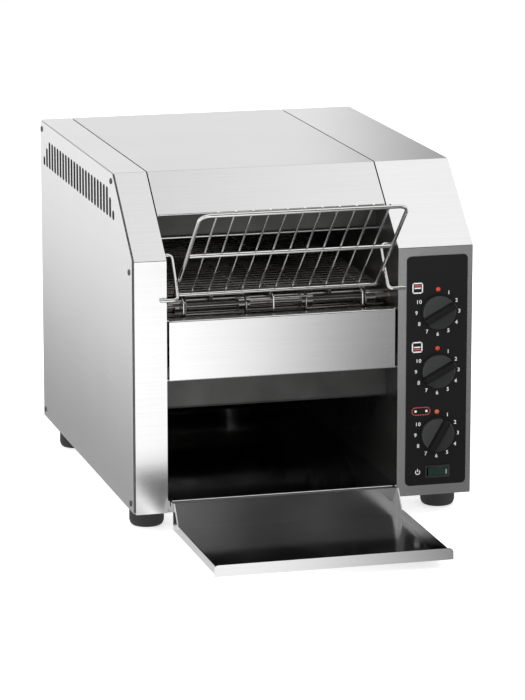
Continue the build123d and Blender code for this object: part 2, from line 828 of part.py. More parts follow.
def make_belt_shaft(name, axis_y, right_end):
    """Round shaft across the chamber with the drums that carry the belt's nose."""
    left_end = opening_left - sheet - shaft_overhang
    drum_span = inside_width - 2 * drum_margin - drum_width
    with BuildPart() as belt_shaft:
        with BuildSketch(Plane.YZ.offset(left_end)):
            with Locations((axis_y, belt_axis_height)):
                Circle(shaft_radius)
        extrude(amount=right_end - left_end)
        for index in range(drum_count):
            drum_x = opening_x - drum_width / 2 + drum_span * (index / (drum_count - 1) - 0.5)
            with BuildSketch(Plane.YZ.offset(drum_x)):
                with Locations((axis_y, belt_axis_height)):
                    Circle(drum_radius)
            extrude(amount=drum_width)
    belt_shaft.part.label = name
    export_step(belt_shaft.part, f"parts/{name}.step")


def make_bushes():
    """Flanged bushes of both belt shafts, one pair in each chamber wall."""
    with BuildPart() as shaft_bushes:
        for wall_x, outward in ((opening_left, -1), (opening_right, 1)):
            places = [(front_axis_y, belt_axis_height), (rear_axis_y, belt_axis_height)]
            with BuildSketch(Plane.YZ.offset(wall_x)):
                with Locations(*places):
                    Circle(bush_radius)
                    Circle(shaft_radius + shaft_clearance, mode=Mode.SUBTRACT)
            extrude(amount=outward * sheet)
            with BuildSketch(Plane.YZ.offset(wall_x + outward * sheet)):
                with Locations(*places):
                    Circle(bush_flange_radius)
                    Circle(shaft_radius + shaft_clearance, mode=Mode.SUBTRACT)
            extrude(amount=outward * bush_flange)
    shaft_bushes.part.label = "shaft_bushes"
    export_step(shaft_bushes.part, "parts/shaft_bushes.step")


def make_belt_rails():
    """Slide rails under the upper run of the belt."""
    length = rear_axis_y - front_axis_y - 2 * (drum_radius + rail_end_gap)
    with BuildPart() as belt_rails:
        with BuildSketch(Plane.XY.offset(rail_bottom)):
            with Locations((opening_x, (front_axis_y + rear_axis_y) / 2)):
                with GridLocations(belt_section, 0, rail_count, 1):
                    Rectangle(rail_width, length)
        extrude(amount=rail_top - rail_bottom)
    belt_rails.part.label = "belt_rails"
    export_step(belt_rails.part, "parts/belt_rails.step")


def make_tie_rods():
    """Cross rods that tie the chamber walls together and carry the rails."""
    start_x = opening_left - sheet - tie_rod_overhang
    with BuildPart() as tie_rods:
        with BuildSketch(Plane.YZ.offset(start_x)):
            with Locations(*[(y, belt_axis_height) for y in tie_rod_ys]):
                Circle(tie_rod_radius)
        extrude(amount=opening_right + sheet + tie_rod_overhang - start_x)
    tie_rods.part.label = "tie_rods"
    export_step(tie_rods.part, "parts/tie_rods.step")


# ---------------------------------------------------------------- drive
def sprocket_points(radius, teeth):
    """Corners of a toothed wheel: each tooth has a flat tip, a sloped flank and a flat root."""
    step = 2 * pi / teeth
    root = radius - tooth_depth
    corners = [(0, radius), (tooth_tip, radius), (tooth_tip + tooth_flank, root), (1 - tooth_flank, root)]
    return [
        (reach * cos((index + share) * step), reach * sin((index + share) * step))
        for index in range(teeth)
        for share, reach in corners
    ]


def make_drive_sprocket():
    """Large sprocket on the rear belt shaft."""
    with BuildPart() as drive_sprocket:
        with BuildSketch(Plane.YZ.offset(chain_x - sprocket_width / 2)):
            with Locations((rear_axis_y, belt_axis_height)):
                Polygon(*sprocket_points(drive_sprocket_radius, drive_sprocket_teeth), align=None)
                Circle(shaft_radius + spindle_fit, mode=Mode.SUBTRACT)
        extrude(amount=sprocket_width)
    drive_sprocket.part.label = "drive_sprocket"
    export_step(drive_sprocket.part, "parts/drive_sprocket.step")


def make_motor_sprocket():
    """Small sprocket and output shaft of the gear motor."""
    shaft_start = chain_x - sprocket_width
    with BuildPart() as motor_sprocket:
        with BuildSketch(Plane.YZ.offset(chain_x - sprocket_width / 2)):
            with Locations((motor_axis_y, motor_axis_height)):
                Polygon(*sprocket_points(motor_sprocket_radius, motor_sprocket_teeth), align=None)
        extrude(amount=sprocket_width)
        with BuildSketch(Plane.YZ.offset(shaft_start)):
            with Locations((motor_axis_y, motor_axis_height)):
                Circle(motor_shaft_radius)
        extrude(amount=gearbox_x + motor_shaft_depth - shaft_start)
    motor_sprocket.part.label = "motor_sprocket"
    export_step(motor_sprocket.part, "parts/motor_sprocket.step")


def make_drive_chain():
    """Closed chain round both sprockets."""
    wheels = [
        (rear_axis_y, belt_axis_height, drive_sprocket_radius),
        (motor_axis_y, motor_axis_height, motor_sprocket_radius),
    ]
    with BuildPart() as drive_chain:
        with BuildSketch(Plane.YZ.offset(chain_x - chain_width / 2)):
            for y, z, radius in wheels:
                with Locations((y, z)):
                    Circle(radius + chain_clearance + chain_height)
            make_hull()
        extrude(amount=chain_width)
        with BuildSketch(Plane.YZ.offset(chain_x - chain_width / 2)):
            for y, z, radius in wheels:
                with Locations((y, z)):
                    Circle(radius + chain_clearance)
            make_hull()
        extrude(amount=chain_width, mode=Mode.SUBTRACT)
    drive_chain.part.label = "drive_chain"
    export_step(drive_chain.part, "parts/drive_chain.step")


def make_gear_motor():
    """Gear motor: a flat gearbox with the round motor behind it."""
    with BuildPart() as gear_motor:
        with BuildSketch(Plane.YZ.offset(gearbox_x)):
            with Locations((motor_axis_y, motor_axis_height - gearbox_drop)):
                RectangleRounded(gearbox_length, gearbox_height, gearbox_corner)
        extrude(amount=gearbox_width)
        with BuildSketch(Plane.YZ.offset(gearbox_x + gearbox_width)):
            with Locations((motor_axis_y, motor_axis_height - gearbox_drop)):
                Circle(motor_radius)
        extrude(amount=motor_length)
        with BuildSketch(Plane.YZ.offset(gearbox_x)):
            with Locations((motor_axis_y, motor_axis_height)):
                Circle(motor_shaft_radius + shaft_clearance)
        extrude(amount=motor_shaft_depth + sheet, mode=Mode.SUBTRACT)
    gear_motor.part.label = "gear_motor"
    export_step(gear_motor.part, "parts/gear_motor.step")


def make_motor_bracket():
    """Channel bracket that holds the gear motor off the right chamber wall."""
    wall_x = opening_right + sheet + lap_gap
    low_z = motor_axis_height - gearbox_drop - gearbox_height / 2 + bracket_thickness
    half_length = gearbox_length / 2 - bracket_thickness
    with BuildPart() as motor_bracket:
        with BuildSketch(Plane.XY.offset(low_z)):
            for side in (-1, 1):
                with Locations((wall_x + bracket_reach / 2, motor_axis_y + side * half_length)):
                    Rectangle(bracket_reach, bracket_thickness)
                foot_y = motor_axis_y + side * (half_length + bracket_foot / 2)
                with Locations((wall_x + bracket_thickness / 2, foot_y)):
                    Rectangle(bracket_thickness, bracket_foot)
            with Locations((wall_x + bracket_reach - bracket_thickness / 2, motor_axis_y)):
                Rectangle(bracket_thickness, 2 * half_length)
        extrude(amount=bracket_foot)
    motor_bracket.part.label = "motor_bracket"
    export_step(motor_bracket.part, "parts/motor_bracket.step")


# ---------------------------------------------------------------- controls
def make_control_overlay():
    """Dark overlay plate on the front of the right casing."""
    left = opening_right + overlay_left_margin
    with BuildPart() as control_overlay:
        with BuildSketch(facing_front(0, front_y, 0)):
            with Locations((left + overlay_width / 2, overlay_bottom + overlay_height / 2)):
                RectangleRounded(overlay_width, overlay_height, overlay_corner)
            control_holes(Mode.SUBTRACT)
        extrude(amount=overlay_thickness)
    control_overlay.part.label = "control_overlay"
    export_step(control_overlay.part, "parts/control_overlay.step")


def make_knob(name, height, turn):
    """Round knob with a straight grip bar left between two hollowed sides."""
    base = facing_front(dial_x, overlay_front_y - knob_gap, height)
    grip = radians(turn)
    across = Plane(origin=base.origin, x_dir=(-sin(grip), 0, cos(grip)), z_dir=(cos(grip), 0, sin(grip)))
    with BuildPart() as knob:
        with BuildSketch(base):
            Circle(knob_radius)
        extrude(amount=knob_height)
        fillet(knob.faces().sort_by(Axis.Y)[0].edges(), knob_edge)
        for side in (-1, 1):
            with BuildSketch(across):
                Polygon(
                    (side * grip_half_width, knob_height + knob_cut),
                    (side * grip_foot_half_width, grip_foot_height),
                    (side * (knob_radius + knob_cut), knob_rim_height),
                    (side * (knob_radius + knob_cut), knob_height + knob_cut),
                    align=None,
                )
            extrude(amount=knob_radius + knob_cut, both=True, mode=Mode.SUBTRACT)
        with BuildSketch(base):
            Circle(control_neck_radius + control_neck_gap)
        extrude(amount=control_neck_stand + knob_gap, mode=Mode.SUBTRACT)
        with BuildSketch(base):
            Circle(spindle_radius + spindle_fit)
        extrude(amount=spindle_seat + spindle_fit, mode=Mode.SUBTRACT)
    knob.part.label = name
    export_step(knob.part, f"parts/{name}.step")


def make_spindle(name, height):
    """Control spindle, from inside its regulator to inside its knob."""
    with BuildPart() as spindle:
        with BuildSketch(facing_front(dial_x, overlay_front_y - knob_gap - spindle_seat, height)):
            Circle(spindle_radius)
        extrude(amount=-spindle_length)
    spindle.part.label = name
    export_step(spindle.part, f"parts/{name}.step")


def make_control_body(name, heights, size, depth, is_round):
    """Bodies behind the fascia with a threaded neck through it and a bore for the spindle."""
    back_y = front_y + sheet + lap_gap
    bore_depth = spindle_length - spindle_seat - knob_gap
    with BuildPart() as control_body:
        for height in heights:
            with BuildSketch(facing_front(dial_x, back_y, height)):
                if is_round:
                    Circle(size)
                else:
                    Rectangle(size, size)
            extrude(amount=-depth)
            with BuildSketch(facing_front(dial_x, back_y, height)):
                Circle(control_neck_radius)
            extrude(amount=back_y - overlay_front_y + control_neck_stand - lap_gap)
            with BuildSketch(facing_front(dial_x, overlay_front_y - control_neck_stand, height)):
                Circle(spindle_radius + spindle_clearance)
            extrude(amount=-(bore_depth + control_neck_stand + sheet), mode=Mode.SUBTRACT)
    control_body.part.label = name
    export_step(control_body.part, f"parts/{name}.step")


def make_indicator_lamps():
    """Red lamps over the dials, bevelled in front and held in the fascia."""
    with BuildPart() as indicator_lamps:
        for height in dial_heights:
            with BuildSketch(facing_front(dial_x, overlay_front_y - lamp_stand, height + lamp_rise)):
                Circle(lamp_radius)
            extrude(amount=-lamp_depth)
        chamfer(indicator_lamps.faces().group_by(Axis.Y)[0].edges(), lamp_edge)
    indicator_lamps.part.label = "indicator_lamps"
    export_step(indicator_lamps.part, "parts/indicator_lamps.step")


def make_switch():
    """Housing of the power switch with its bezel, and the rocker on its pins."""
    face = facing_front(switch_x, overlay_front_y, switch_centre_height)
    mouth_width = switch_width - 2 * switch_bezel_wall
    mouth_height = switch_height - 2 * switch_bezel_wall
    pin_y = overlay_front_y + rocker_pivot_depth
    pin_span = mouth_height + 2 * rocker_pin_reach
    with BuildPart() as switch_housing:
        with BuildSketch(face):
            RectangleRounded(switch_width, switch_height, switch_bezel_corner)
        extrude(amount=switch_bezel)
        with BuildSketch(face):
            Rectangle(switch_body_width, switch_body_height)
        extrude(amount=-switch_body_depth)
        with BuildSketch(facing_front(switch_x, overlay_front_y - switch_bezel, switch_centre_height)):
            Rectangle(mouth_width, mouth_height)
        extrude(amount=-(switch_bezel + rocker_well), mode=Mode.SUBTRACT)
        with Locations((switch_x, pin_y, switch_centre_height)):
            hole_span = pin_span + 2 * rocker_pin_clearance
            Cylinder(rocker_pin_radius + rocker_pin_clearance, hole_span, mode=Mode.SUBTRACT)
    switch_housing.part.label = "power_switch_housing"
    export_step(switch_housing.part, "parts/power_switch_housing.step")

    tilt = radians(rocker_tilt)
    front_reach = rocker_pivot_depth + switch_bezel
    half = mouth_width / 2 - rocker_gap - front_reach * sin(tilt)
    rocker_plane = Plane(
        origin=(switch_x, pin_y, switch_centre_height - mouth_height / 2 + rocker_gap),
        x_dir=(cos(tilt), sin(tilt), 0),
        z_dir=(0, 0, 1),
    )
    with BuildPart() as power_rocker:
        with BuildSketch(rocker_plane):
            Polygon(
                (-half, -front_reach - rocker_peak),
                (0, -front_reach + rocker_peak),
                (half, -front_reach - rocker_peak),
                (half - rocker_flank_inset, -rocker_flank_depth),
                (0, rocker_keel),
                (rocker_flank_inset - half, -rocker_flank_depth),
                align=None,
            )
        extrude(amount=mouth_height - 2 * rocker_gap)
        with Locations((switch_x, pin_y, switch_centre_height)):
            Cylinder(rocker_pin_radius, pin_span)
    power_rocker.part.label = "power_rocker"
    export_step(power_rocker.part, "parts/power_rocker.step")


# ---------------------------------------------------------------- fan, gland and terminals


def make_fan():
    """Axial cooling fan behind the rear slots: square frame with struts and a pin, and its rotor."""
    centre = (fan_x, fan_height)
    with BuildPart() as fan_housing:
        with BuildSketch(facing_front(0, fan_plane_y, 0)):
            with Locations(centre):
                RectangleRounded(fan_size, fan_size, fan_corner)
                Circle(fan_bore_radius, mode=Mode.SUBTRACT)
        extrude(amount=fan_depth)
        with BuildSketch(facing_front(0, fan_plane_y - fan_depth + fan_strut_depth, 0)):
            with Locations(centre):
                Circle(fan_boss_radius)
                Rectangle(2 * fan_bore_radius + fan_strut, fan_strut)
                Rectangle(fan_strut, 2 * fan_bore_radius + fan_strut)
        extrude(amount=fan_strut_depth)
        with BuildSketch(facing_front(0, fan_plane_y - fan_tip_gap, 0)):
            with Locations(centre):
                Circle(fan_pin_radius)
        extrude(amount=fan_depth - fan_tip_gap - lap_gap)
    fan_housing.part.label = "fan_housing"
    export_step(fan_housing.part, "parts/fan_housing.step")

    rotor_depth = fan_depth - fan_strut_depth - 2 * fan_tip_gap
    rotor_back_y = fan_plane_y - fan_tip_gap
    blade_width = rotor_depth * fan_blade_share / cos(radians(fan_blade_pitch))
    with BuildPart() as fan_rotor:
        with BuildSketch(facing_front(0, rotor_back_y, 0)):
            with Locations(centre):
                Circle(fan_hub_radius)
        extrude(amount=rotor_depth)
        for index in range(fan_blades):
            angle = index * 360 / fan_blades
            hub_point = Plane(
                origin=(fan_x, rotor_back_y - rotor_depth / 2, fan_height),
                x_dir=(0, 1, 0),
                z_dir=(cos(radians(angle)), 0, sin(radians(angle))),
            )
            with BuildSketch(hub_point.offset(fan_hub_radius - fan_blade_root)):
                Rectangle(blade_width, fan_blade_thickness, rotation=fan_blade_pitch)
            extrude(amount=fan_bore_radius - fan_tip_gap - fan_hub_radius + fan_blade_root)
        with BuildSketch(facing_front(0, rotor_back_y, 0)):
            with Locations(centre):
                Circle(fan_pin_radius + fan_pin_clearance)
        extrude(amount=rotor_depth, mode=Mode.SUBTRACT)
    fan_rotor.part.label = "fan_rotor"
    export_step(fan_rotor.part, "parts/fan_rotor.step")


def make_cable_gland():
    """Gland in the rear panel, with its bore open for a supply cable."""
    panel_back = rear_panel_y + sheet
    with BuildPart() as cable_gland:
        with BuildSketch(facing_front(gland_x, rear_y + gland_reach, gland_height)):
            Circle(gland_radius)
        extrude(amount=rear_y + gland_reach - rear_panel_y + gland_nut + lap_gap)
        with BuildSketch(facing_front(gland_x, panel_back + gland_nut, gland_height)):
            RegularPolygon(gland_nut_radius, gland_nut_sides)
        extrude(amount=gland_nut)
        with BuildSketch(facing_front(gland_x, rear_panel_y, gland_height)):
            RegularPolygon(gland_nut_radius, gland_nut_sides)
        extrude(amount=gland_nut)
        chamfer(cable_gland.faces().sort_by(Axis.Y)[-1].edges(), gland_edge)
        with BuildSketch(facing_front(gland_x, rear_y + gland_reach, gland_height)):
            Circle(gland_bore_radius)
        extrude(amount=2 * gland_reach + 2 * gland_nut, mode=Mode.SUBTRACT)
    cable_gland.part.label = "cable_gland"
    export_step(cable_gland.part, "parts/cable_gland.step")


def make_terminal_block():
    """Mains terminal block on the base pan."""
    with BuildPart() as terminal_block:
        with BuildSketch(Plane.XY.offset(base_top)):
            with Locations((gland_x, rear_y - flange - terminal_length)):
                Rectangle(terminal_length, terminal_width)
        extrude(amount=terminal_height)
        with BuildSketch(Plane.XY.offset(base_top + terminal_height)):
            with Locations((gland_x, rear_y - flange - terminal_length)):
                with GridLocations(terminal_length / terminal_poles, 0, terminal_poles, 1):
                    Rectangle(terminal_pocket_length, terminal_pocket_width)
        extrude(amount=-terminal_pocket_depth, mode=Mode.SUBTRACT)
    terminal_block.part.label = "terminal_block"
    export_step(terminal_block.part, "parts/terminal_block.step")


# ---------------------------------------------------------------- bread rack
def rack_plane(set_back):
    """Plane of the leaning rack, set back square to it: its y runs up the rack from the bottom wire."""
    lean = radians(180 - rack_lean)
    up = Vector(0, cos(lean), sin(lean))
    foot = (opening_x, rack_foot_y, rack_foot_height)
    return Plane(origin=foot, x_dir=(1, 0, 0), z_dir=Vector(1, 0, 0).cross(up)).offset(-set_back)


def make_rack_frame():
    """Frame wire of the bread rack: up one side, across the top, down the other side."""
    with BuildPart() as rack_frame:
        with BuildLine(rack_plane(0)) as frame_path:
            FilletPolyline(
                (-rack_half_width, 0),
                (-rack_half_width, rack_length),
                (rack_half_width, rack_length),
                (rack_half_width, 0),
                radius=rack_corner,
            )
        with BuildSketch(Plane(origin=frame_path.line @ 0, z_dir=frame_path.line % 0)):
            Circle(rack_wire_radius)
        sweep(path=frame_path.line)
    rack_frame.part.label = "rack_frame"
    export_step(rack_frame.part, "parts/rack_frame.step")


def make_rack_bars():
    """Bottom and middle wires between the sides of the frame, and the bars welded to their rear."""
    plane = rack_plane(0)
    half_cross = rack_half_width - rack_wire_radius - rack_weld_gap
    bars = rack_plane(rack_wire_radius + rack_bar_radius + rack_weld_gap)
    with BuildPart() as rack_bars:
        for level in (0, rack_middle_level):
            rod(plane, (-half_cross, level), (half_cross, level), rack_wire_radius)
        for index in range(rack_bar_count):
            x = (index - (rack_bar_count - 1) / 2) * rack_bar_pitch
            rod(bars, (x, -rack_wire_radius), (x, rack_length + rack_wire_radius), rack_bar_radius)
    rack_bars.part.label = "rack_bars"
    export_step(rack_bars.part, "parts/rack_bars.step")


def make_rack_arms():
    """Two bent arms: a pivot pin through the wall, a slanted run, and a tip that rests on the column."""
    pin_end = half_opening + sheet + rack_pin_overhang
    tip_y = front_y - rack_wire_radius - rack_tip_gap
    with BuildPart() as rack_arms:
        for side in (-1, 1):
            arm = [
                (opening_x + side * pin_end, rack_pivot_y, rack_pivot_height),
                (opening_x + side * arm_x, rack_pivot_y, rack_pivot_height),
                (opening_x + side * arm_x, tip_y, rack_tip_height),
                (opening_x + side * (half_opening + rack_tip_reach), tip_y, rack_tip_height),
            ]
            bent_wire(arm, arm_bend, rack_wire_radius)
    rack_arms.part.label = "rack_arms"
    export_step(rack_arms.part, "parts/rack_arms.step")


def make_rack_legs():
    """Three short legs that stand down from the bottom wire in front of the belt's nose."""
    top = rack_foot_height - rack_wire_radius - rack_bar_radius - rack_weld_gap
    leg_y = rack_foot_y - leg_set_forward
    with BuildPart() as rack_legs:
        for index in (-1, 0, 1):
            leg_x = opening_x + leg_offset + index * leg_spread
            leg = [
                (leg_x, rack_foot_y + rack_wire_radius, top),
                (leg_x, leg_y, top - leg_slant),
                (leg_x, leg_y, rack_foot_height - leg_length),
            ]
            bent_wire(leg, leg_bend, rack_bar_radius)
    rack_legs.part.label = "rack_legs"
    export_step(rack_legs.part, "parts/rack_legs.step")


def rod(plane, start, end, radius):
    """A straight round wire between two points of a plane, added to the open part."""
    first = plane.from_local_coords(Vector(*start))
    last = plane.from_local_coords(Vector(*end))
    with BuildSketch(Plane(origin=first, z_dir=last - first)) as section:
        Circle(radius)
    extrude(section.sketch, amount=(last - first).length)


def bent_wire(points, bend, radius):
    """A round wire along straight runs with rounded corners, added to the open part."""
    with BuildLine() as path:
        FilletPolyline(*points, radius=bend)
    with BuildSketch(Plane(origin=path.line @ 0, z_dir=path.line % 0)) as section:
        Circle(radius)
    sweep(section.sketch, path=path.line)


# ---------------------------------------------------------------- catch tray
def make_catch_tray():
    """Folded tray in front of the outlet, hung on two hooked ears that drop into slots of the chute's lip."""
    depth = tray_back_y - tray_front_y
    middle_y = (tray_front_y + tray_back_y) / 2
    notch_z = chute_height - tray_ear_slot + tray_ear_gap
    ear_top = chute_height - tray_ear_gap
    ear_front = tray_back_y - tray_sheet
    hook_front = front_y + sheet + tray_ear_gap
    side_top = tray_floor_height + tray_side_height
    with BuildPart() as catch_tray:
        with BuildSketch(Plane.XY.offset(tray_floor_height)):
            with Locations((opening_x, middle_y)):
                Rectangle(2 * tray_half_width, depth)
        extrude(amount=tray_sheet)
        with BuildSketch(facing_front(opening_x, tray_front_y + tray_sheet, 0)) as front_wall:
            with Locations((0, tray_floor_height + tray_front_height / 2)):
                Rectangle(2 * (tray_half_width + tray_front_overhang), tray_front_height)
            fillet(front_wall.vertices().group_by(Axis.Y)[-1], tray_corner)
        extrude(amount=tray_sheet)
        with BuildSketch(facing_front(opening_x, tray_back_y, 0)):
            with Locations((0, (tray_floor_height + tray_back_top) / 2)):
                Rectangle(2 * tray_half_width, tray_back_top - tray_floor_height)
        extrude(amount=tray_sheet)
        for wall_x in (-tray_half_width, tray_half_width - tray_sheet):
            with BuildSketch(Plane.YZ.offset(opening_x + wall_x)):
                Polygon(
                    (tray_front_y, tray_floor_height),
                    (tray_back_y, tray_floor_height),
                    (tray_back_y, tray_back_top),
                    (tray_back_y - tray_gusset_top, tray_back_top),
                    (tray_back_y - tray_gusset_depth, side_top),
                    (tray_front_y, side_top),
                    align=None,
                )
            extrude(amount=tray_sheet)
        for side in (-1, 1):
            with BuildSketch(Plane.YZ.offset(opening_x + side * ear_x - tray_ear_thickness / 2)):
                Polygon(
                    (ear_front, ear_top - tray_ear_height),
                    (front_y - tray_ear_gap, ear_top - tray_ear_height),
                    (front_y - tray_ear_gap, notch_z),
                    (hook_front, notch_z),
                    (hook_front, ear_top - tray_ear_height),
                    (hook_front + tray_ear_reach - 2 * tray_ear_gap, ear_top - tray_ear_height),
                    (hook_front + tray_ear_reach - 2 * tray_ear_gap, ear_top),
                    (ear_front, ear_top),
                    align=None,
                )
            extrude(amount=tray_ear_thickness)
    catch_tray.part.label = "catch_tray"
    export_step(catch_tray.part, "parts/catch_tray.step")


os.makedirs("parts", exist_ok=True)
make_base_pan()
make_left_casing()
make_right_casing()
make_side_panel("left_side_panel", left_x, 1)
make_side_panel("right_side_panel", right_x, -1)
make_panel_screws()
make_hood()
make_rear_panel()
make_feet()
make_chamber_wall("left_chamber_wall", opening_left, -1)
make_chamber_wall("right_chamber_wall", opening_right, 1)
make_toast_chute()
make_front_panel()
make_lower_shield()
make_inlet_baffle()
make_guard_rod()
make_upper_reflector()
make_heating_rods("upper_heating_rods", rod_rows[0])
make_heating_rods("lower_heating_rods", rod_rows[1])
make_wire_belt()
make_belt_shaft("front_belt_shaft", front_axis_y, opening_right + sheet + shaft_overhang)
make_belt_shaft("rear_belt_shaft", rear_axis_y, chain_x + sprocket_width + lap_gap)
make_bushes()
make_belt_rails()
make_tie_rods()
make_drive_sprocket()
make_motor_sprocket()
make_drive_chain()
make_gear_motor()
make_motor_bracket()
make_control_overlay()
make_knob("upper_heat_knob", upper_dial_height, upper_dial_turn)
make_knob("lower_heat_knob", lower_dial_height, lower_dial_turn)
make_knob("belt_speed_knob", speed_dial_height, speed_dial_turn)
make_spindle("upper_heat_spindle", upper_dial_height)
make_spindle("lower_heat_spindle", lower_dial_height)
make_spindle("belt_speed_spindle", speed_dial_height)
make_control_body("energy_regulators", dial_heights[:2], regulator_size, regulator_depth, False)
make_control_body("speed_controller", dial_heights[2:], speed_body_radius, speed_body_depth, True)
make_indicator_lamps()
make_switch()
make_fan()
make_cable_gland()
make_terminal_block()
make_rack_frame()
make_rack_bars()
make_rack_arms()
make_rack_legs()
make_catch_tray()
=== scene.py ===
"""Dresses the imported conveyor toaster: finishes, print, knobs, belt wires, feet, screws, vents and seams."""

import json
import logging
from dataclasses import dataclass
from enum import Enum
from math import radians, tau

import bmesh
import bpy
import numpy as np
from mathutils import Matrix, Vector

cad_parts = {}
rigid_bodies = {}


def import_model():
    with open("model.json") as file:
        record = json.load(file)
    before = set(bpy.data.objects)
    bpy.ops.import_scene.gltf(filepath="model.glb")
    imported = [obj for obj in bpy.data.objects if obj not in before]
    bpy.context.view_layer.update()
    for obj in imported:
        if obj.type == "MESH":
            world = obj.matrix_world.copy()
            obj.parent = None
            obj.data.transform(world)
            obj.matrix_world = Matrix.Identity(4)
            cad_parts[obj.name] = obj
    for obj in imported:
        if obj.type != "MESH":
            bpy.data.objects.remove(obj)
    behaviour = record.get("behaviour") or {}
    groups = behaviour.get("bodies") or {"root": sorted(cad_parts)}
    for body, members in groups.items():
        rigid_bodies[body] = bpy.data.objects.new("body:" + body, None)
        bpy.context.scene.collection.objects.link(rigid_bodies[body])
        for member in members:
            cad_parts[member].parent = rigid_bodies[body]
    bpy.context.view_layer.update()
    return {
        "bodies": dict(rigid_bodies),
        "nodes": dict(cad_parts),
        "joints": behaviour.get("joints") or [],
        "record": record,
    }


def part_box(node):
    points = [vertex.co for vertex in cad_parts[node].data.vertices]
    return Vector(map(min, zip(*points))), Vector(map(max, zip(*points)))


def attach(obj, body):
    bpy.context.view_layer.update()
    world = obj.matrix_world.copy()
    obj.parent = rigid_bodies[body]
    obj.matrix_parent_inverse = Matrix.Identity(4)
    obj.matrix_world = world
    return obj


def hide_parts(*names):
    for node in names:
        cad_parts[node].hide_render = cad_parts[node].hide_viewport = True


LOG = logging.getLogger("toaster")
MM = 0.001
BODY = "machine_body"
MERGE_DISTANCE = 1e-7
COAT_ROUGHNESS = 0.12
WHITE = (1.0, 1.0, 1.0, 1.0)

Array = np.ndarray
Colour = tuple[float, float, float]
Point = tuple[float, float, float]
Span = tuple[float, float]
Corners = tuple[Point, ...]
Socket = bpy.types.NodeSocket
Box = tuple[Vector, Vector]


# ------------------------------------------------------------------ meshes
@dataclass
class Surface:
    """Vertices in metres and four-cornered faces of one piece."""

    vertices: Array
    faces: Array

    def placed(self, matrices: Array) -> "Surface":
        """Repeat the surface once for each 4 x 4 matrix.

        Args:
            matrices: n x 4 x 4 places.

        Returns:
            One surface with n copies.
        """
        points = np.c_[self.vertices, np.ones(len(self.vertices))]
        moved = np.einsum("nij,vj->nvi", matrices, points)[..., :3].reshape(-1, 3)
        steps = np.arange(len(matrices))[:, None, None] * len(self.vertices)
        return Surface(moved, (self.faces[None] + steps).reshape(-1, 4))


def join(surfaces: list[Surface]) -> Surface:
    """Put several surfaces into one.

    Args:
        surfaces: the surfaces, in any order.

    Returns:
        One surface that holds them all.
    """
    starts = np.cumsum([0] + [len(s.vertices) for s in surfaces[:-1]])
    faces = [s.faces + start for s, start in zip(surfaces, starts)]
    return Surface(np.concatenate([s.vertices for s in surfaces]), np.concatenate(faces))


def grid_faces(rows: int, columns: int, round_columns: bool = True) -> Array:
    """Faces of a grid of vertices stored row by row.

    Args:
        rows: vertices along the first parameter.
        columns: vertices along the second parameter.
        round_columns: whether the last column meets the first.

    Returns:
        Faces as n x 4 vertex numbers.
    """
    u = np.arange(rows - 1)[:, None]
    v = np.arange(columns if round_columns else columns - 1)[None, :]
    w = (v + 1) % columns
    corners = [u * columns + v, u * columns + w, (u + 1) * columns + w, (u + 1) * columns + v]
    return np.stack(corners, axis=-1).reshape(-1, 4)


def turned(profile: Array, sides: int = 48) -> Surface:
    """Turn a profile round the Z axis: a point (r, z) goes to (r cos t, r sin t, z).

    Args:
        profile: n x 2 radii and heights, with both ends on the axis.
        sides: steps round the axis.

    Returns:
        The closed surface.
    """
    angle = np.linspace(0, tau, sides, endpoint=False)
    r, z = profile[:, :1], profile[:, 1:]
    points = np.stack([r * np.cos(angle), r * np.sin(angle), z + 0 * angle], axis=-1)
    return Surface(points.reshape(-1, 3), grid_faces(len(profile), sides))


def unit_rows(vectors: Array) -> Array:
    """Divide each vector by its length.

    Args:
        vectors: one vector in each row.

    Returns:
        The unit vectors.
    """
    return vectors / np.linalg.norm(vectors, axis=1, keepdims=True)


def rounded(points: Array, reach: float, steps: int = 5) -> Array:
    """Round the inner corners of a line with a parabola that starts and ends at reach from each corner.

    Args:
        points: n x 3 corners.
        reach: distance from a corner to the start of its round.
        steps: points in each round.

    Returns:
        The corners of the finer line.
    """
    before, corner, after = points[:-2], points[1:-1], points[2:]
    start = corner + unit_rows(before - corner) * reach
    end = corner + unit_rows(after - corner) * reach
    t = np.linspace(0, 1, steps)[None, :, None]
    bend = (1 - t) ** 2 * start[:, None] + 2 * t * (1 - t) * corner[:, None] + t**2 * end[:, None]
    return np.concatenate([points[:1], bend.reshape(-1, 3), points[-1:]])


def tube(path: Array, radius: float, flat_normal: Array, sides: int = 8) -> Surface:
    """Carry a circle along a flat line: each ring is the centre plus the radius times (N cos a + B sin a).

    Args:
        path: n x 3 centres, all in one plane.
        radius: radius of the wire.
        flat_normal: unit normal N of that plane; B is square to N and to the line.
        sides: sides of the wire.

    Returns:
        The closed wire.
    """
    tangent = unit_rows(np.gradient(path, axis=0))
    side = np.cross(tangent, flat_normal)
    angle = np.linspace(0, tau, sides, endpoint=False)[None, :, None]
    ring = flat_normal[None, None] * np.cos(angle) + side[:, None] * np.sin(angle)
    size = np.r_[0, np.full(len(path), radius), 0][:, None, None]
    centres = np.concatenate([path[:1], path, path[-1:]])[:, None]
    rings = np.concatenate([ring[:1], ring, ring[-1:]])
    points = centres + size * rings
    return Surface(points.reshape(-1, 3), grid_faces(len(centres), sides))


def over_disc(x: Array, y: Array, height: Array) -> Surface:
    """Close a height over a disc: its rings, the foot of the outer ring and the middle of the flat back.

    Args:
        x: X of the points, ring by ring from the middle outwards.
        y: Y of the points.
        height: Z of the points.

    Returns:
        The closed surface, standing on +Z.
    """
    top = np.stack([x, y, height], axis=-1)
    foot = np.stack([x[-1:], y[-1:], 0 * x[-1:]], axis=-1)
    points = np.concatenate([top, foot, np.zeros((1, x.shape[1], 3))])
    return Surface(points.reshape(-1, 3), grid_faces(len(points), x.shape[1]))


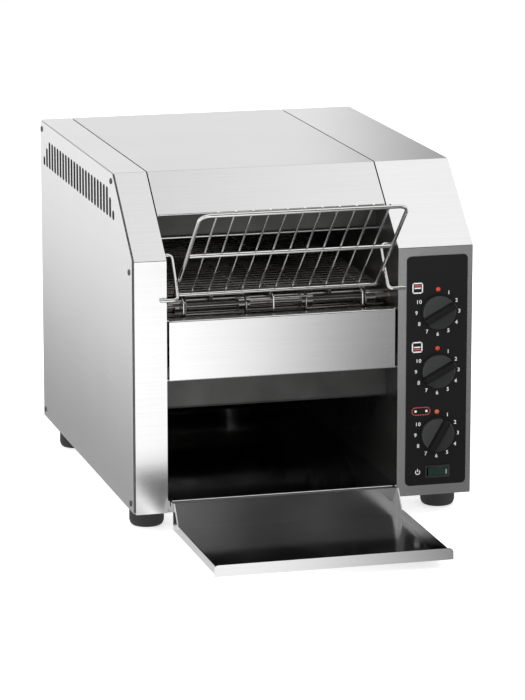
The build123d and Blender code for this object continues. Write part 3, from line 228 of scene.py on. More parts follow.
# Shares of the radius and of the height along the section of a pill.
PILL_SECTION = np.array([(0.0, 0.0), (1.0, 0.0), (1.0, 0.6), (0.94, 0.88), (0.8, 1.0), (0.0, 1.0)])


def pill(half_length: float, radius: float, depth: float, sides: int = 24) -> Surface:
    """A flat dome whose upper and lower halves are moved apart along Y.

    A point is (r cos a, r sin a + h, z) for each (r, z) of the dome's profile, where h is the half length
    with the sign of sin a.

    Args:
        half_length: half the distance between the two round ends.
        radius: radius of the ends.
        depth: height of the dome.
        sides: steps round the outline.

    Returns:
        The closed surface, standing on +Z.
    """
    angle = (np.arange(sides) + 0.5) * tau / sides
    r, z = PILL_SECTION[:, :1] * radius, PILL_SECTION[:, 1:] * depth
    y = r * np.sin(angle) + np.sign(np.sin(angle)) * half_length
    points = np.stack([r * np.cos(angle), y, z + 0 * angle], axis=-1)
    return Surface(points.reshape(-1, 3), grid_faces(len(r), sides))


def band(centre_line: Array, width: float, depth: float) -> Surface:
    """A printed line of even width on the fascia: its section is a flat rectangle carried along the line.

    Args:
        centre_line: n x 2 points (X, Z).
        width: width of the line.
        depth: thickness along Y, towards the viewer.

    Returns:
        The closed band, with its back at Y 0.
    """
    tangent = unit_rows(np.gradient(centre_line, axis=0))
    across = np.c_[-tangent[:, 1], tangent[:, 0]] * width / 2
    left, right = centre_line + across, centre_line - across
    back, front = np.zeros(len(left)), np.full(len(left), -depth)
    ring = [
        np.c_[left[:, 0], back, left[:, 1]],
        np.c_[left[:, 0], front, left[:, 1]],
        np.c_[right[:, 0], front, right[:, 1]],
        np.c_[right[:, 0], back, right[:, 1]],
    ]
    points = np.stack(ring, axis=1)
    ends = np.repeat(points[[0, -1]].mean(1, keepdims=True), points.shape[1], axis=1)
    points = np.concatenate([ends[:1], points, ends[1:]])
    return Surface(points.reshape(-1, 3), grid_faces(len(points), 4))


def facing_front(surface: Surface, place: Point) -> Surface:
    """Lay a surface that stands on +Z down so that it faces -Y, with its foot at a place.

    Args:
        surface: the surface, with +Z towards the viewer and +Y upwards.
        place: where its origin goes.

    Returns:
        The placed surface.
    """
    x, y, z = surface.vertices.T
    return Surface(np.c_[x, -z, y] + np.array(place), surface.faces)


def add_piece(
    name: str, surface: Surface, finish: "Finish", body: str, smooth_below: float = 35.0
) -> bpy.types.Object:
    """Make a piece of a surface, with its normals outwards and its sharp edges kept.

    Args:
        name: name of the piece.
        surface: its shape, in metres, in the shared frame.
        finish: its finish.
        body: the body it rides on.
        smooth_below: edges under this angle, in degrees, shade smooth.

    Returns:
        The object.
    """
    mesh = bpy.data.meshes.new(name)
    mesh.from_pydata(surface.vertices.tolist(), [], surface.faces.tolist())
    work = bmesh.new()
    work.from_mesh(mesh)
    bmesh.ops.remove_doubles(work, verts=work.verts, dist=MERGE_DISTANCE)
    bmesh.ops.dissolve_degenerate(work, dist=MERGE_DISTANCE, edges=work.edges)
    bmesh.ops.recalc_face_normals(work, faces=work.faces)
    work.to_mesh(mesh)
    work.free()
    mesh.shade_smooth()
    mesh.set_sharp_from_angle(angle=radians(smooth_below))
    mesh.materials.append(finish.material())
    piece = bpy.data.objects.new(name, mesh)
    bpy.context.scene.collection.objects.link(piece)
    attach(piece, body)
    LOG.info("%s: %d faces", name, len(mesh.polygons))
    return piece


# ------------------------------------------------------------------ shared node groups
class Graph:
    """Short calls that build one node tree."""

    def __init__(self, tree: bpy.types.NodeTree) -> None:
        """Keep the tree that the calls add to.

        Args:
            tree: the node tree.
        """
        self.tree = tree

    def node(self, kind: str, **settings: object) -> bpy.types.Node:
        """Add a node.

        Args:
            kind: its type.
            settings: its properties by name.

        Returns:
            The node.
        """
        made = self.tree.nodes.new(kind)
        for key, value in settings.items():
            setattr(made, key, value)
        return made

    def link(self, source: Socket, target: Socket) -> None:
        """Join two sockets.

        Args:
            source: the output.
            target: the input.
        """
        self.tree.links.new(source, target)

    def feed(self, target: Socket, value: object) -> None:
        """Link a socket to the target, or set the target to a plain value.

        Args:
            target: the input.
            value: a socket or a plain value.
        """
        if isinstance(value, bpy.types.NodeSocket):
            self.link(value, target)
        else:
            target.default_value = value

    def math(self, operation: str, first: object, second: object = 0.0) -> Socket:
        """Work out one value from two.

        Args:
            operation: what is worked out.
            first: socket or number.
            second: socket or number.

        Returns:
            The value.
        """
        made = self.node("ShaderNodeMath", operation=operation)
        self.feed(made.inputs[0], first)
        self.feed(made.inputs[1], second)
        return made.outputs[0]

    def blend(self, share: object, first: object, second: object) -> Socket:
        """Mix two colours: first * (1 - share) + second * share.

        Args:
            share: socket or number from 0 to 1.
            first: socket or colour.
            second: socket or colour.

        Returns:
            The mixed colour.
        """
        made = self.node("ShaderNodeMix", data_type="RGBA")
        self.feed(made.inputs["Factor"], share)
        self.feed(made.inputs[6], first)
        self.feed(made.inputs[7], second)
        return made.outputs[2]

    def spread(self, value: object, low: float, high: float, to_low: float, to_high: float) -> Socket:
        """Map a value from one range to another, and hold it there.

        Args:
            value: socket or number.
            low: start of the range it comes from.
            high: end of that range.
            to_low: what the start becomes.
            to_high: what the end becomes.

        Returns:
            The mapped value.
        """
        made = self.node("ShaderNodeMapRange", clamp=True)
        for socket, number in zip(made.inputs, (value, low, high, to_low, to_high)):
            self.feed(socket, number)
        return made.outputs[0]

    def noise(self, scale: object, detail: float, place: Socket | None = None) -> Socket:
        """Add noise.

        Args:
            scale: cells per unit of the place, as a socket or number.
            detail: how many finer layers it holds.
            place: where it is read, or None for the Object coordinates.

        Returns:
            Its value.
        """
        made = self.node("ShaderNodeTexNoise")
        self.feed(made.inputs["Scale"], scale)
        made.inputs["Detail"].default_value = detail
        if place is None:
            place = self.node("ShaderNodeTexCoord").outputs["Object"]
        self.link(place, made.inputs["Vector"])
        return made.outputs[0]

    def group(self, tree: bpy.types.NodeTree, **values: object) -> bpy.types.Node:
        """Place a node group.

        Args:
            tree: the group's tree.
            values: its input values by name.

        Returns:
            The group node.
        """
        made = self.node("ShaderNodeGroup", node_tree=tree)
        for key, value in values.items():
            self.feed(made.inputs[key], value)
        return made


NOISE_RANGE = (0.3, 0.7)  # where most of the noise lies
WEAR_GLINT_COSINES = (0.99, 0.86)  # between the rounded and the face's own normal: no edge lightening, full edge lightening
WEAR_GLINT_BREAKS = (0.35, 0.6)  # noise between which the edge lightening is broken
WEAR_GLINT_LEAST = 0.35  # share of the edge lightening that stays in the breaks
WEAR_GLINT_SCALE = 90.0  # breaks per metre


def new_group(
    name: str, inputs: dict[str, tuple[str, object]], outputs: list[str]
) -> tuple[Graph, dict, dict]:
    """Start a shared shader node group.

    Args:
        name: name of the group.
        inputs: socket type and default value by input name.
        outputs: names of the value outputs.

    Returns:
        Its graph, its input sockets and its output sockets, by name.
    """
    tree = bpy.data.node_groups.new(name, "ShaderNodeTree")
    for key, (kind, value) in inputs.items():
        tree.interface.new_socket(key, in_out="INPUT", socket_type=kind).default_value = value
    for key in outputs:
        tree.interface.new_socket(key, in_out="OUTPUT", socket_type="NodeSocketFloat")
    graph = Graph(tree)
    entry = graph.node("NodeGroupInput")
    leave = graph.node("NodeGroupOutput")
    return graph, {k: entry.outputs[k] for k in inputs}, {k: leave.inputs[k] for k in outputs}


def grain_group() -> bpy.types.NodeTree:
    """Grain: noise on Object coordinates, stretched along the direction of the brushing.

    Returns:
        The shared group.
    """
    if "grain" in bpy.data.node_groups:
        return bpy.data.node_groups["grain"]
    graph, taken, given = new_group(
        "grain", {"Stretch": ("NodeSocketVector", (1.0, 1.0, 1.0))}, ["Tone", "Height"]
    )
    place = graph.node("ShaderNodeTexCoord").outputs["Object"]
    mapping = graph.node("ShaderNodeMapping")
    graph.link(place, mapping.inputs["Vector"])
    graph.link(taken["Stretch"], mapping.inputs["Scale"])
    fine = graph.noise(1.0, 3.0, mapping.outputs[0])
    graph.link(graph.spread(fine, *NOISE_RANGE, 0.0, 1.0), given["Tone"])
    graph.link(fine, given["Height"])
    return graph.tree


def wear_group() -> bpy.types.NodeTree:
    """Edge wear and painted edge highlight: where a normal rounded over a small radius leaves the face's own
    normal, broken by noise.

    Returns:
        The shared group.
    """
    if "edge_wear_and_glint" in bpy.data.node_groups:
        return bpy.data.node_groups["edge_wear_and_glint"]
    graph, taken, given = new_group("edge_wear_and_glint", {"Radius": ("NodeSocketFloat", 0.0008)}, ["Mask"])
    soft = graph.node("ShaderNodeBevel", samples=4)
    graph.link(taken["Radius"], soft.inputs["Radius"])
    geometry = graph.node("ShaderNodeNewGeometry")
    compare = graph.node("ShaderNodeVectorMath", operation="DOT_PRODUCT")
    graph.link(soft.outputs[0], compare.inputs[0])
    graph.link(geometry.outputs["Normal"], compare.inputs[1])
    edge = graph.spread(compare.outputs["Value"], *WEAR_GLINT_COSINES, 0.0, 1.0)
    kept = graph.spread(graph.noise(WEAR_GLINT_SCALE, 2.0), *WEAR_GLINT_BREAKS, WEAR_GLINT_LEAST, 1.0)
    graph.link(graph.math("MULTIPLY", edge, kept), given["Mask"])
    return graph.tree


def soil_group() -> bpy.types.NodeTree:
    """Handling marks: large soft noise that varies how polished a surface is.

    Returns:
        The shared group.
    """
    if "handling" in bpy.data.node_groups:
        return bpy.data.node_groups["handling"]
    graph, taken, given = new_group("handling", {"Scale": ("NodeSocketFloat", 12.0)}, ["Value"])
    graph.link(graph.spread(graph.noise(taken["Scale"], 1.0), *NOISE_RANGE, -1.0, 1.0), given["Value"])
    return graph.tree


# ------------------------------------------------------------------ finishes
class Grain(Enum):
    """Direction of a surface's grain, as noise cells per metre along X, Y and Z."""

    ALONG_X = (8.0, 900.0, 900.0)
    ALONG_Y = (900.0, 8.0, 900.0)
    FINE_SPECKLE = (1600.0, 1600.0, 1600.0)
    HEAT_STAIN = (24.0, 24.0, 24.0)
    MOULDED = (2600.0, 2600.0, 2600.0)


@dataclass(frozen=True)
class Finish:
    """One finish: what it is called, its colour and gloss, its grain and the lighter colour along its edges,
    partly wear and partly painted highlight.
    """

    name: str
    slot: str
    colour: Colour
    roughness: float
    metallic: float = 0.0
    grain: Grain = Grain.FINE_SPECKLE
    grain_depth: float = 0.00001
    tone: float = 0.06
    handling: float = 0.05
    edge_colour: Colour = (0.8, 0.8, 0.8)
    edge_share: float = 0.3
    coat: float = 0.0
    emission: float = 0.0
    specular: float = 0.5

    def material(self) -> bpy.types.Material:
        """Build the material once, and hand out the same one afterwards.

        Returns:
            The material with this finish.
        """
        if self.name in bpy.data.materials:
            return bpy.data.materials[self.name]
        material = bpy.data.materials.new(self.name)
        material.use_nodes = True
        graph = Graph(material.node_tree)
        shader = material.node_tree.nodes["Principled BSDF"]
        grain = graph.group(grain_group(), Stretch=self.grain.value)
        wear_glint = graph.group(wear_group())
        marks = graph.group(soil_group())
        dark = tuple(c * (1 - self.tone) for c in self.colour) + (1.0,)
        light = tuple(min(c * (1 + self.tone), 1.0) for c in self.colour) + (1.0,)
        toned = graph.blend(grain.outputs["Tone"], dark, light)
        # Edges blend toward a lighter edge colour: partly wear, partly a painted highlight along every edge.
        wear_glint_amount = graph.math("MULTIPLY", wear_glint.outputs["Mask"], self.edge_share)
        graph.link(graph.blend(wear_glint_amount, toned, (*self.edge_colour, 1.0)), shader.inputs["Base Color"])
        varied = graph.math("MULTIPLY_ADD", marks.outputs["Value"], self.handling)
        varied.node.inputs[2].default_value = self.roughness
        graph.link(varied, shader.inputs["Roughness"])
        bump = graph.node("ShaderNodeBump")
        bump.inputs["Distance"].default_value = self.grain_depth
        graph.link(grain.outputs["Height"], bump.inputs["Height"])
        graph.link(bump.outputs[0], shader.inputs["Normal"])
        shader.inputs["Metallic"].default_value = self.metallic
        shader.inputs["Specular IOR Level"].default_value = self.specular
        if self.coat:
            shader.inputs["Coat Weight"].default_value = self.coat
            shader.inputs["Coat Roughness"].default_value = COAT_ROUGHNESS
        if self.emission:
            shader.inputs["Emission Color"].default_value = (*self.colour, 1.0)
            shader.inputs["Emission Strength"].default_value = self.emission
        return material


def brushed(name: str, level: float, roughness: float = 0.2, grain: Grain = Grain.ALONG_X) -> Finish:
    """A finish of brushed stainless sheet.

    Args:
        name: name of the finish.
        level: how bright the steel is.
        roughness: its roughness.
        grain: direction of the brushing.

    Returns:
        The finish.
    """
    return Finish(name, "stainless", (level, level, level), roughness, 1.0, grain, 0.000002, 0.02, 0.012)


STAINLESS = brushed("satin_stainless", 0.7)
# Darker copies of the same brushed sheet, as painted shade: the hood at 0.6 and the casing at 0.66 against 0.7.
HOOD_SHADED_STEEL = brushed("hood_stainless_painted_shade", 0.6)
CASING_SHADED_STEEL = brushed("casing_stainless_painted_shade", 0.66)
STAINLESS_SIDE = brushed("side_stainless", 0.68, 0.26, Grain.ALONG_Y)
POLISHED = Finish(
    "polished_stainless", "polished_steel", (0.7, 0.7, 0.7), 0.09, 1.0, Grain.ALONG_Y, 0.000001, 0.02, 0.02
)
# Darker copy of the polished steel, as painted shade, with strong light edges that are partly wear and partly a
# painted highlight on the rims.
TRAY_SHADED_STEEL = Finish(
    "tray_stainless_painted_shade", "polished_steel", (0.54, 0.54, 0.54), 0.14, 1.0, Grain.ALONG_X, 0.000001, 0.03, 0.03,
    (0.95, 0.95, 0.95), 0.7
)
DARK_STEEL = Finish("heat_stained_steel", "dark_steel", (0.06, 0.059, 0.058), 0.32, 0.6, Grain.HEAT_STAIN,
                    0.000002, 0.25, 0.06, (0.3, 0.3, 0.3), 0.35)
CHROME = Finish(
    "bright_wire", "chrome_wire", (0.66, 0.66, 0.65), 0.1, 1.0, Grain.FINE_SPECKLE, 0.000002, 0.04, 0.03
)
BELT_WIRE = Finish(
    "heat_tinted_wire", "belt_wire", (0.34, 0.32, 0.3), 0.24, 1.0, Grain.HEAT_STAIN, 0.000002, 0.18, 0.06
)
SHAFT = Finish("drawn_steel", "zinc_steel", (0.3, 0.29, 0.28), 0.24, 1.0, Grain.ALONG_X, 0.000002, 0.1, 0.04)
SHEATH = Finish(
    "rod_sheath", "rod_sheath", (0.22, 0.2, 0.19), 0.45, 0.8, Grain.HEAT_STAIN, 0.000004, 0.3, 0.08
)
ZINC = Finish(
    "zinc_plate", "zinc_steel", (0.56, 0.57, 0.59), 0.34, 1.0, Grain.FINE_SPECKLE, 0.000004, 0.08, 0.05
)
BRONZE = Finish(
    "sintered_bronze", "bronze", (0.5, 0.34, 0.17), 0.4, 1.0, Grain.FINE_SPECKLE, 0.00001, 0.12, 0.06
)
PAINT = Finish("motor_paint", "motor_paint", (0.18, 0.19, 0.2), 0.5, 0.0, Grain.MOULDED, 0.00002, 0.06, 0.05)
RUBBER = Finish(
    "foot_rubber", "foot_rubber", (0.02, 0.02, 0.02), 0.62, 0.0, Grain.MOULDED, 0.00003, 0.15, 0.06,
    (0.06, 0.06, 0.06), 0.4
)
OVERLAY = Finish(
    "overlay_film", "overlay_black", (0.007, 0.007, 0.0075), 0.42, 0.0, Grain.FINE_SPECKLE, 0.000006, 0.05,
    0.04, (0.08, 0.08, 0.08), 0.3, specular=0.22
)
KNOB = Finish(
    "knob_plastic", "knob_black", (0.02, 0.021, 0.022), 0.34, 0.0, Grain.MOULDED, 0.000012, 0.08, 0.05,
    (0.12, 0.12, 0.12), 0.25
)
# Darker, less shiny copy of the knob plastic for the grip bar's faces: painted shade.
KNOB_GRIP_SHADE = Finish(
    "knob_grip_painted_shade", "knob_black", (0.006, 0.006, 0.0065), 0.3, 0.0, Grain.MOULDED, 0.00001, 0.08, 0.04,
    (0.05, 0.05, 0.05), 0.25, specular=0.25
)
MOULDING = Finish(
    "black_moulding", "moulding_black", (0.02, 0.02, 0.02), 0.45, 0.0, Grain.MOULDED, 0.00002, 0.08, 0.05,
    (0.07, 0.07, 0.07), 0.3
)
LAMP = Finish(
    "lamp_lens", "lamp_red", (0.5, 0.035, 0.02), 0.12, 0.0, Grain.FINE_SPECKLE, 0.000002, 0.05, 0.02,
    (0.9, 0.3, 0.2), 0.2, 0.6, 0.12
)
AMBER = Finish(
    "amber_lens", "lamp_red", (0.56, 0.1, 0.03), 0.12, 0.0, Grain.FINE_SPECKLE, 0.000002, 0.05, 0.02,
    (0.95, 0.5, 0.25), 0.2, 0.6, 0.12
)
ROCKER = Finish(
    "rocker_lens", "rocker_green", (0.003, 0.022, 0.015), 0.22, 0.0, Grain.FINE_SPECKLE, 0.000002, 0.08, 0.03,
    (0.02, 0.09, 0.06), 0.4, 0.4
)
TERMINAL = Finish(
    "terminal_moulding", "terminal_white", (0.78, 0.76, 0.7), 0.45, 0.0, Grain.MOULDED, 0.00001, 0.04
)
WHITE_INK = Finish(
    "white_ink", "overlay_black", (0.8, 0.8, 0.8), 0.45, 0.0, Grain.FINE_SPECKLE, 0.000002, 0.05
)
GREY_INK = Finish("grey_ink", "rocker_green", (0.4, 0.42, 0.41), 0.4, 0.0, Grain.FINE_SPECKLE, 0.000002, 0.05)
RED_INK = Finish("red_ink", "overlay_black", (0.6, 0.07, 0.04), 0.45, 0.0, Grain.FINE_SPECKLE, 0.000002, 0.06)
# Near-black finish for the slot linings and the strips behind them: painted shade seen through the slots.
SLOT_PAINTED_SHADE = Finish(
    "slot_painted_shade", "dark_steel", (0.008, 0.008, 0.008), 0.6, 0.0, Grain.FINE_SPECKLE, 0.000004, 0.2, 0.05,
    (0.1, 0.1, 0.1), 0.2, specular=0.2
)
# Near-black line that stands for the shadow in the gap beside each side panel: painted shadow.
SEAM_PAINTED_SHADOW = Finish("seam_painted_shadow", "moulding_black", (0.03, 0.03, 0.03), 0.6, 0.0, Grain.MOULDED, 0.00001, 0.1, 0.05,
              (0.08, 0.08, 0.08), 0.2, specular=0.2)
SCREW = Finish(
    "blackened_screw", "dark_steel", (0.03, 0.03, 0.032), 0.45, 0.2, Grain.FINE_SPECKLE, 0.000004, 0.1, 0.05,
    (0.3, 0.3, 0.3), 0.5
)

NODE_FINISHES: dict[Finish, list[str]] = {
    STAINLESS: ["base_pan", "rear_panel", "middle_front_panel"],
    HOOD_SHADED_STEEL: ["hood"],
    CASING_SHADED_STEEL: ["left_casing", "right_casing"],
    STAINLESS_SIDE: ["left_side_panel", "right_side_panel"],
    POLISHED: ["toast_chute", "upper_reflector"],
    TRAY_SHADED_STEEL: ["catch_tray"],
    DARK_STEEL: [
        "left_chamber_wall", "right_chamber_wall", "lower_heat_shield", "inlet_baffle", "drive_chain"
    ],
    CHROME: ["inlet_guard_rod", "rack_frame", "rack_bars", "rack_arms", "rack_legs"],
    SHAFT: ["front_belt_shaft", "rear_belt_shaft", "belt_rails", "tie_rods"],
    SHEATH: ["upper_heating_rods", "lower_heating_rods"],
    ZINC: ["drive_sprocket", "motor_sprocket", "motor_bracket", "foot_screws",
           "upper_heat_spindle", "lower_heat_spindle", "belt_speed_spindle"],
    BRONZE: ["shaft_bushes"],
    PAINT: ["gear_motor"],
    RUBBER: ["feet"],
    OVERLAY: ["control_overlay"],
    MOULDING: ["energy_regulators", "speed_controller", "power_switch_housing", "fan_housing", "fan_rotor",
               "cable_gland"],
    ROCKER: ["power_rocker"],
    TERMINAL: ["terminal_block"],
}


def dress_nodes(nodes: dict[str, bpy.types.Object]) -> None:
    """Give every carried-over node its finish.

    Args:
        nodes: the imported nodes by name.
    """
    for finish, names in NODE_FINISHES.items():
        for name in names:
            mesh = nodes[name].data
            mesh.materials.clear()
            mesh.materials.append(finish.material())
            LOG.info("%s: %s", name, finish.name)


# ------------------------------------------------------------------ controls
@dataclass
class Dial:
    """A control dial: what it turns, where it stands, how its grip is turned and the finish of its lamp."""

    node: str
    body: str
    height: float
    turn: float
    lens: Finish


@dataclass
class ControlPanel:
    """Print, lamps and knobs on the fascia, laid out from the overlay plate and the dials."""

    dials: tuple[Dial, ...] = (
        Dial("upper_heat_knob", "upper_heat_dial", 223.3 * MM, 28.0, LAMP),
        Dial("lower_heat_knob", "lower_heat_dial", 159.8 * MM, 28.0, LAMP),
        Dial("belt_speed_knob", "belt_speed_dial", 91.1 * MM, 60.0, AMBER),
    )
    print_depth: float = 0.06 * MM
    figure_radius: float = 23.6 * MM
    figure_size: float = 5.6 * MM
    figure_spacing: float = 1.18
    figure_boldness: float = 0.1 * MM
    figure_count: int = 10
    figure_step: float = 30.0
    icon_left: float = -27.0 * MM
    icon_rise: float = 26.6 * MM
    icon_size: float = 11.6 * MM
    icon_line: float = 1.3 * MM
    icon_slice_share: float = 0.6
    icon_rod_share: float = 0.22
    belt_icon_left: float = -17.6 * MM
    belt_icon_rise: float = 25.8 * MM
    belt_icon_width: float = 20.0 * MM
    belt_icon_height: float = 8.0 * MM
    belt_icon_dashes: int = 18
    belt_icon_dash_share: float = 0.62
    belt_icon_line: float = 0.9 * MM
    roller_radius: float = 1.35 * MM
    power_icon_left: float = -20.7 * MM
    power_icon_radius: float = 2.4 * MM
    power_icon_line: float = 0.8 * MM
    power_icon_gap: float = 38.0
    power_icon_stroke: float = 1.3
    power_icon_stroke_rise: float = 0.85
    switch_height: float = 50.5 * MM
    mark_inset: float = 2.6 * MM
    mark_half_length: float = 2.2 * MM
    mark_radius: float = 0.45 * MM
    mark_depth: float = 0.6 * MM
    lamp_rise: float = 24.3 * MM
    lamp_radius: float = 2.45 * MM
    lamp_dome: float = 1.5 * MM
    lamp_collar: float = 0.1 * MM
    lamp_seat: float = 3.0 * MM
    grip_half_width: float = 3.0 * MM
    grip_foot_half_width: float = 4.4 * MM
    hollow_height: float = 7.0 * MM
    rim_height: float = 5.2 * MM
    edge_round: float = 1.2 * MM
    close_rings_from: float = 0.9
    moulding_smooth: float = 50.0

    def build(self) -> None:
        """Build everything on the fascia."""
        low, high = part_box("upper_heat_knob")
        self.x = (low.x + high.x) / 2
        self.face_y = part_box("control_overlay")[0].y
        for dial in self.dials:
            self.print_figures(dial)
            self.build_knob(dial)
            self.build_lamp(dial)
        self.print_heat_icon(self.dials[0], upper=True)
        self.print_heat_icon(self.dials[1], upper=False)
        self.print_belt_icon(self.dials[2])
        self.print_power_icon()
        self.print_rocker_mark()

    def print_figures(self, dial: Dial) -> None:
        """Print the figures 1 to 10 round a dial, clockwise from one step past the top.

        Args:
            dial: the dial.
        """
        flat: list[Surface] = []
        for number in range(1, self.figure_count + 1):
            angle = radians(90 - number * self.figure_step)
            centre = (
                self.x + self.figure_radius * np.cos(angle), dial.height + self.figure_radius * np.sin(angle)
            )
            flat.append(self.figure(str(number), centre))
        self.add_print(f"{dial.node}_figures", flat, WHITE_INK)

    def figure(self, text: str, centre: Span) -> Surface:
        """One figure as a thin flat mesh, centred on a point of the fascia.

        Args:
            text: the figure.
            centre: X and Z of its middle.

        Returns:
            Its faces, as triangles whose last corner is repeated.
        """
        curve = bpy.data.curves.new("figure", "FONT")
        curve.body = text
        curve.size = self.figure_size
        curve.space_character = self.figure_spacing
        curve.offset = self.figure_boldness
        holder = bpy.data.objects.new("figure", curve)
        mesh = bpy.data.meshes.new_from_object(holder)
        points = np.zeros(len(mesh.vertices) * 3)
        mesh.vertices.foreach_get("co", points)
        points = points.reshape(-1, 3)
        points -= (points.min(0) + points.max(0)) / 2
        mesh.calc_loop_triangles()
        corners = np.zeros(len(mesh.loop_triangles) * 3, int)
        mesh.loop_triangles.foreach_get("vertices", corners)
        corners = corners.reshape(-1, 3)
        bpy.data.objects.remove(holder)
        bpy.data.curves.remove(curve)
        bpy.data.meshes.remove(mesh)
        place = np.c_[
            points[:, 0] + centre[0], np.full(len(points), -self.print_depth), points[:, 1] + centre[1]
        ]
        return Surface(place, np.c_[corners, corners[:, 2]])

    def add_print(self, name: str, parts: list[Surface], ink: Finish) -> None:
        """Lay print on the front of the overlay plate.

        Args:
            name: name of the piece.
            parts: its shapes, with Y 0 on the plate's front.
            ink: its finish.
        """
        whole = join(parts)
        whole.vertices = whole.vertices + np.array([0.0, self.face_y, 0.0])
        faces = [tuple(dict.fromkeys(face)) for face in whole.faces.tolist()]
        mesh = bpy.data.meshes.new(name)
        mesh.from_pydata(whole.vertices.tolist(), [], faces)
        mesh.materials.append(ink.material())
        piece = bpy.data.objects.new(name, mesh)
        bpy.context.scene.collection.objects.link(piece)
        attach(piece, BODY)
        LOG.info("%s printed", name)

    def stripe(self, x: float, z: float, width: float, height: float) -> Surface:
        """A printed bar, as a band along its middle line.

        Args:
            x: X of its middle.
            z: Z of its middle.
            width: size along X.
            height: size along Z.

        Returns:
            The bar.
        """
        line = np.array([(x - width / 2, z), (x, z), (x + width / 2, z)])
        return band(line, height, self.print_depth)

    def print_heat_icon(self, dial: Dial, upper: bool) -> None:
        """Print a framed pictogram of a slice, with the rod of this dial in red over or under it.

        Args:
            dial: the dial.
            upper: whether the rod lies over the slice.
        """
        x = self.x + self.icon_left + self.icon_size / 2 - self.icon_line
        z = dial.height + self.icon_rise
        half = (self.icon_size - self.icon_line) / 2
        frame = [
            self.stripe(x, z + half, self.icon_size, self.icon_line),
            self.stripe(x, z - half, self.icon_size, self.icon_line),
            self.stripe(x - half, z, self.icon_line, self.icon_size),
            self.stripe(x + half, z, self.icon_line, self.icon_size),
            self.stripe(x, z, self.icon_size * self.icon_slice_share, self.icon_line),
        ]
        self.add_print(f"{dial.node}_icon", frame, WHITE_INK)
        rise = self.icon_size * (self.icon_rod_share if upper else -self.icon_rod_share)
        rod = self.stripe(x, z + rise, self.icon_size * self.icon_slice_share, self.icon_line)
        self.add_print(f"{dial.node}_icon_rod", [rod], RED_INK)

    def print_belt_icon(self, dial: Dial) -> None:
        """Print a dashed oblong for the belt, with two rollers as dots.

        Args:
            dial: the dial.
        """
        x, z = self.x + self.belt_icon_left, dial.height + self.belt_icon_rise
        radius = self.belt_icon_height / 2
        straight = self.belt_icon_width - 2 * radius
        length = 2 * straight + tau * radius
        dashes: list[Surface] = []
        for index in range(self.belt_icon_dashes):
            s = (index + np.linspace(0, self.belt_icon_dash_share, 5)) * length / self.belt_icon_dashes
            dashes.append(
                band(self.oblong(s, straight, radius) + (x, z), self.belt_icon_line, self.print_depth)
            )
        self.add_print("belt_icon", dashes, RED_INK)
        r, depth = self.roller_radius, self.print_depth
        dot = turned(np.array([(0, 0), (r, 0), (r, depth), (0, depth)]), 20)
        dots = [facing_front(dot, (x + side * straight / 2, 0.0, z)) for side in (-1, 1)]
        self.add_print("belt_icon_rollers", dots, WHITE_INK)

    @staticmethod
    def oblong(s: Array, straight: float, radius: float) -> Array:
        """Points on an oblong: top run, right half circle, bottom run, left half circle, by length s.

        Args:
            s: lengths along the outline.
            straight: length of a straight run.
            radius: radius of the ends.

        Returns:
            n x 2 points.
        """
        arc = np.pi * radius
        top, right, bottom = straight, straight + arc, 2 * straight + arc
        first = (s - top) / radius
        second = (s - bottom) / radius
        x = np.select(
            [s < top, s < right, s < bottom],
            [s - straight / 2, straight / 2 + radius * np.sin(first), straight / 2 - (s - right)],
            -straight / 2 - radius * np.sin(second),
        )
        y = np.select(
            [s < top, s < right, s < bottom], [radius + 0 * s, radius * np.cos(first), -radius + 0 * s],
            -radius * np.cos(second)
        )
        return np.c_[x, y]

    def print_power_icon(self) -> None:
        """Print an open ring with an upright line in its gap."""
        x, z, radius = self.x + self.power_icon_left, self.switch_height, self.power_icon_radius
        angle = np.radians(np.linspace(90 + self.power_icon_gap, 450 - self.power_icon_gap, 25))
        centre_line = np.c_[x + radius * np.cos(angle), z + radius * np.sin(angle)]
        ring = band(centre_line, self.power_icon_line, self.print_depth)
        rise = radius * self.power_icon_stroke_rise
        line = self.stripe(x, z + rise, self.power_icon_line, radius * self.power_icon_stroke)
        self.add_print("power_icon", [ring, line], WHITE_INK)

    def print_rocker_mark(self) -> None:
        """Print the upright stroke at the right end of the rocker."""
        low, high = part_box("power_rocker")
        place = (high.x - self.mark_inset, low.y + self.mark_depth / 2, (low.z + high.z) / 2)
        mark = pill(self.mark_half_length, self.mark_radius, self.mark_depth)
        add_piece("rocker_mark", facing_front(mark, place), GREY_INK, "power_rocker")

    def build_lamp(self, dial: Dial) -> None:
        """Build a domed lens: a quarter ellipse turned round its axis, over a short collar.

        Args:
            dial: the dial beside it.
        """
        t = np.linspace(0, np.pi / 2, 10)
        dome = np.c_[self.lamp_radius * np.cos(t), self.lamp_collar + self.lamp_dome * np.sin(t)]
        profile = np.concatenate([[(0, -self.lamp_seat), (self.lamp_radius, -self.lamp_seat)], dome])
        profile[-1, 0] = 0.0
        lens = facing_front(turned(profile, 32), (self.x, self.face_y, dial.height + self.lamp_rise))
        piece = add_piece(f"{dial.node}_lamp", lens, dial.lens, BODY)
        if dial is self.dials[0]:
            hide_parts("indicator_lamps")

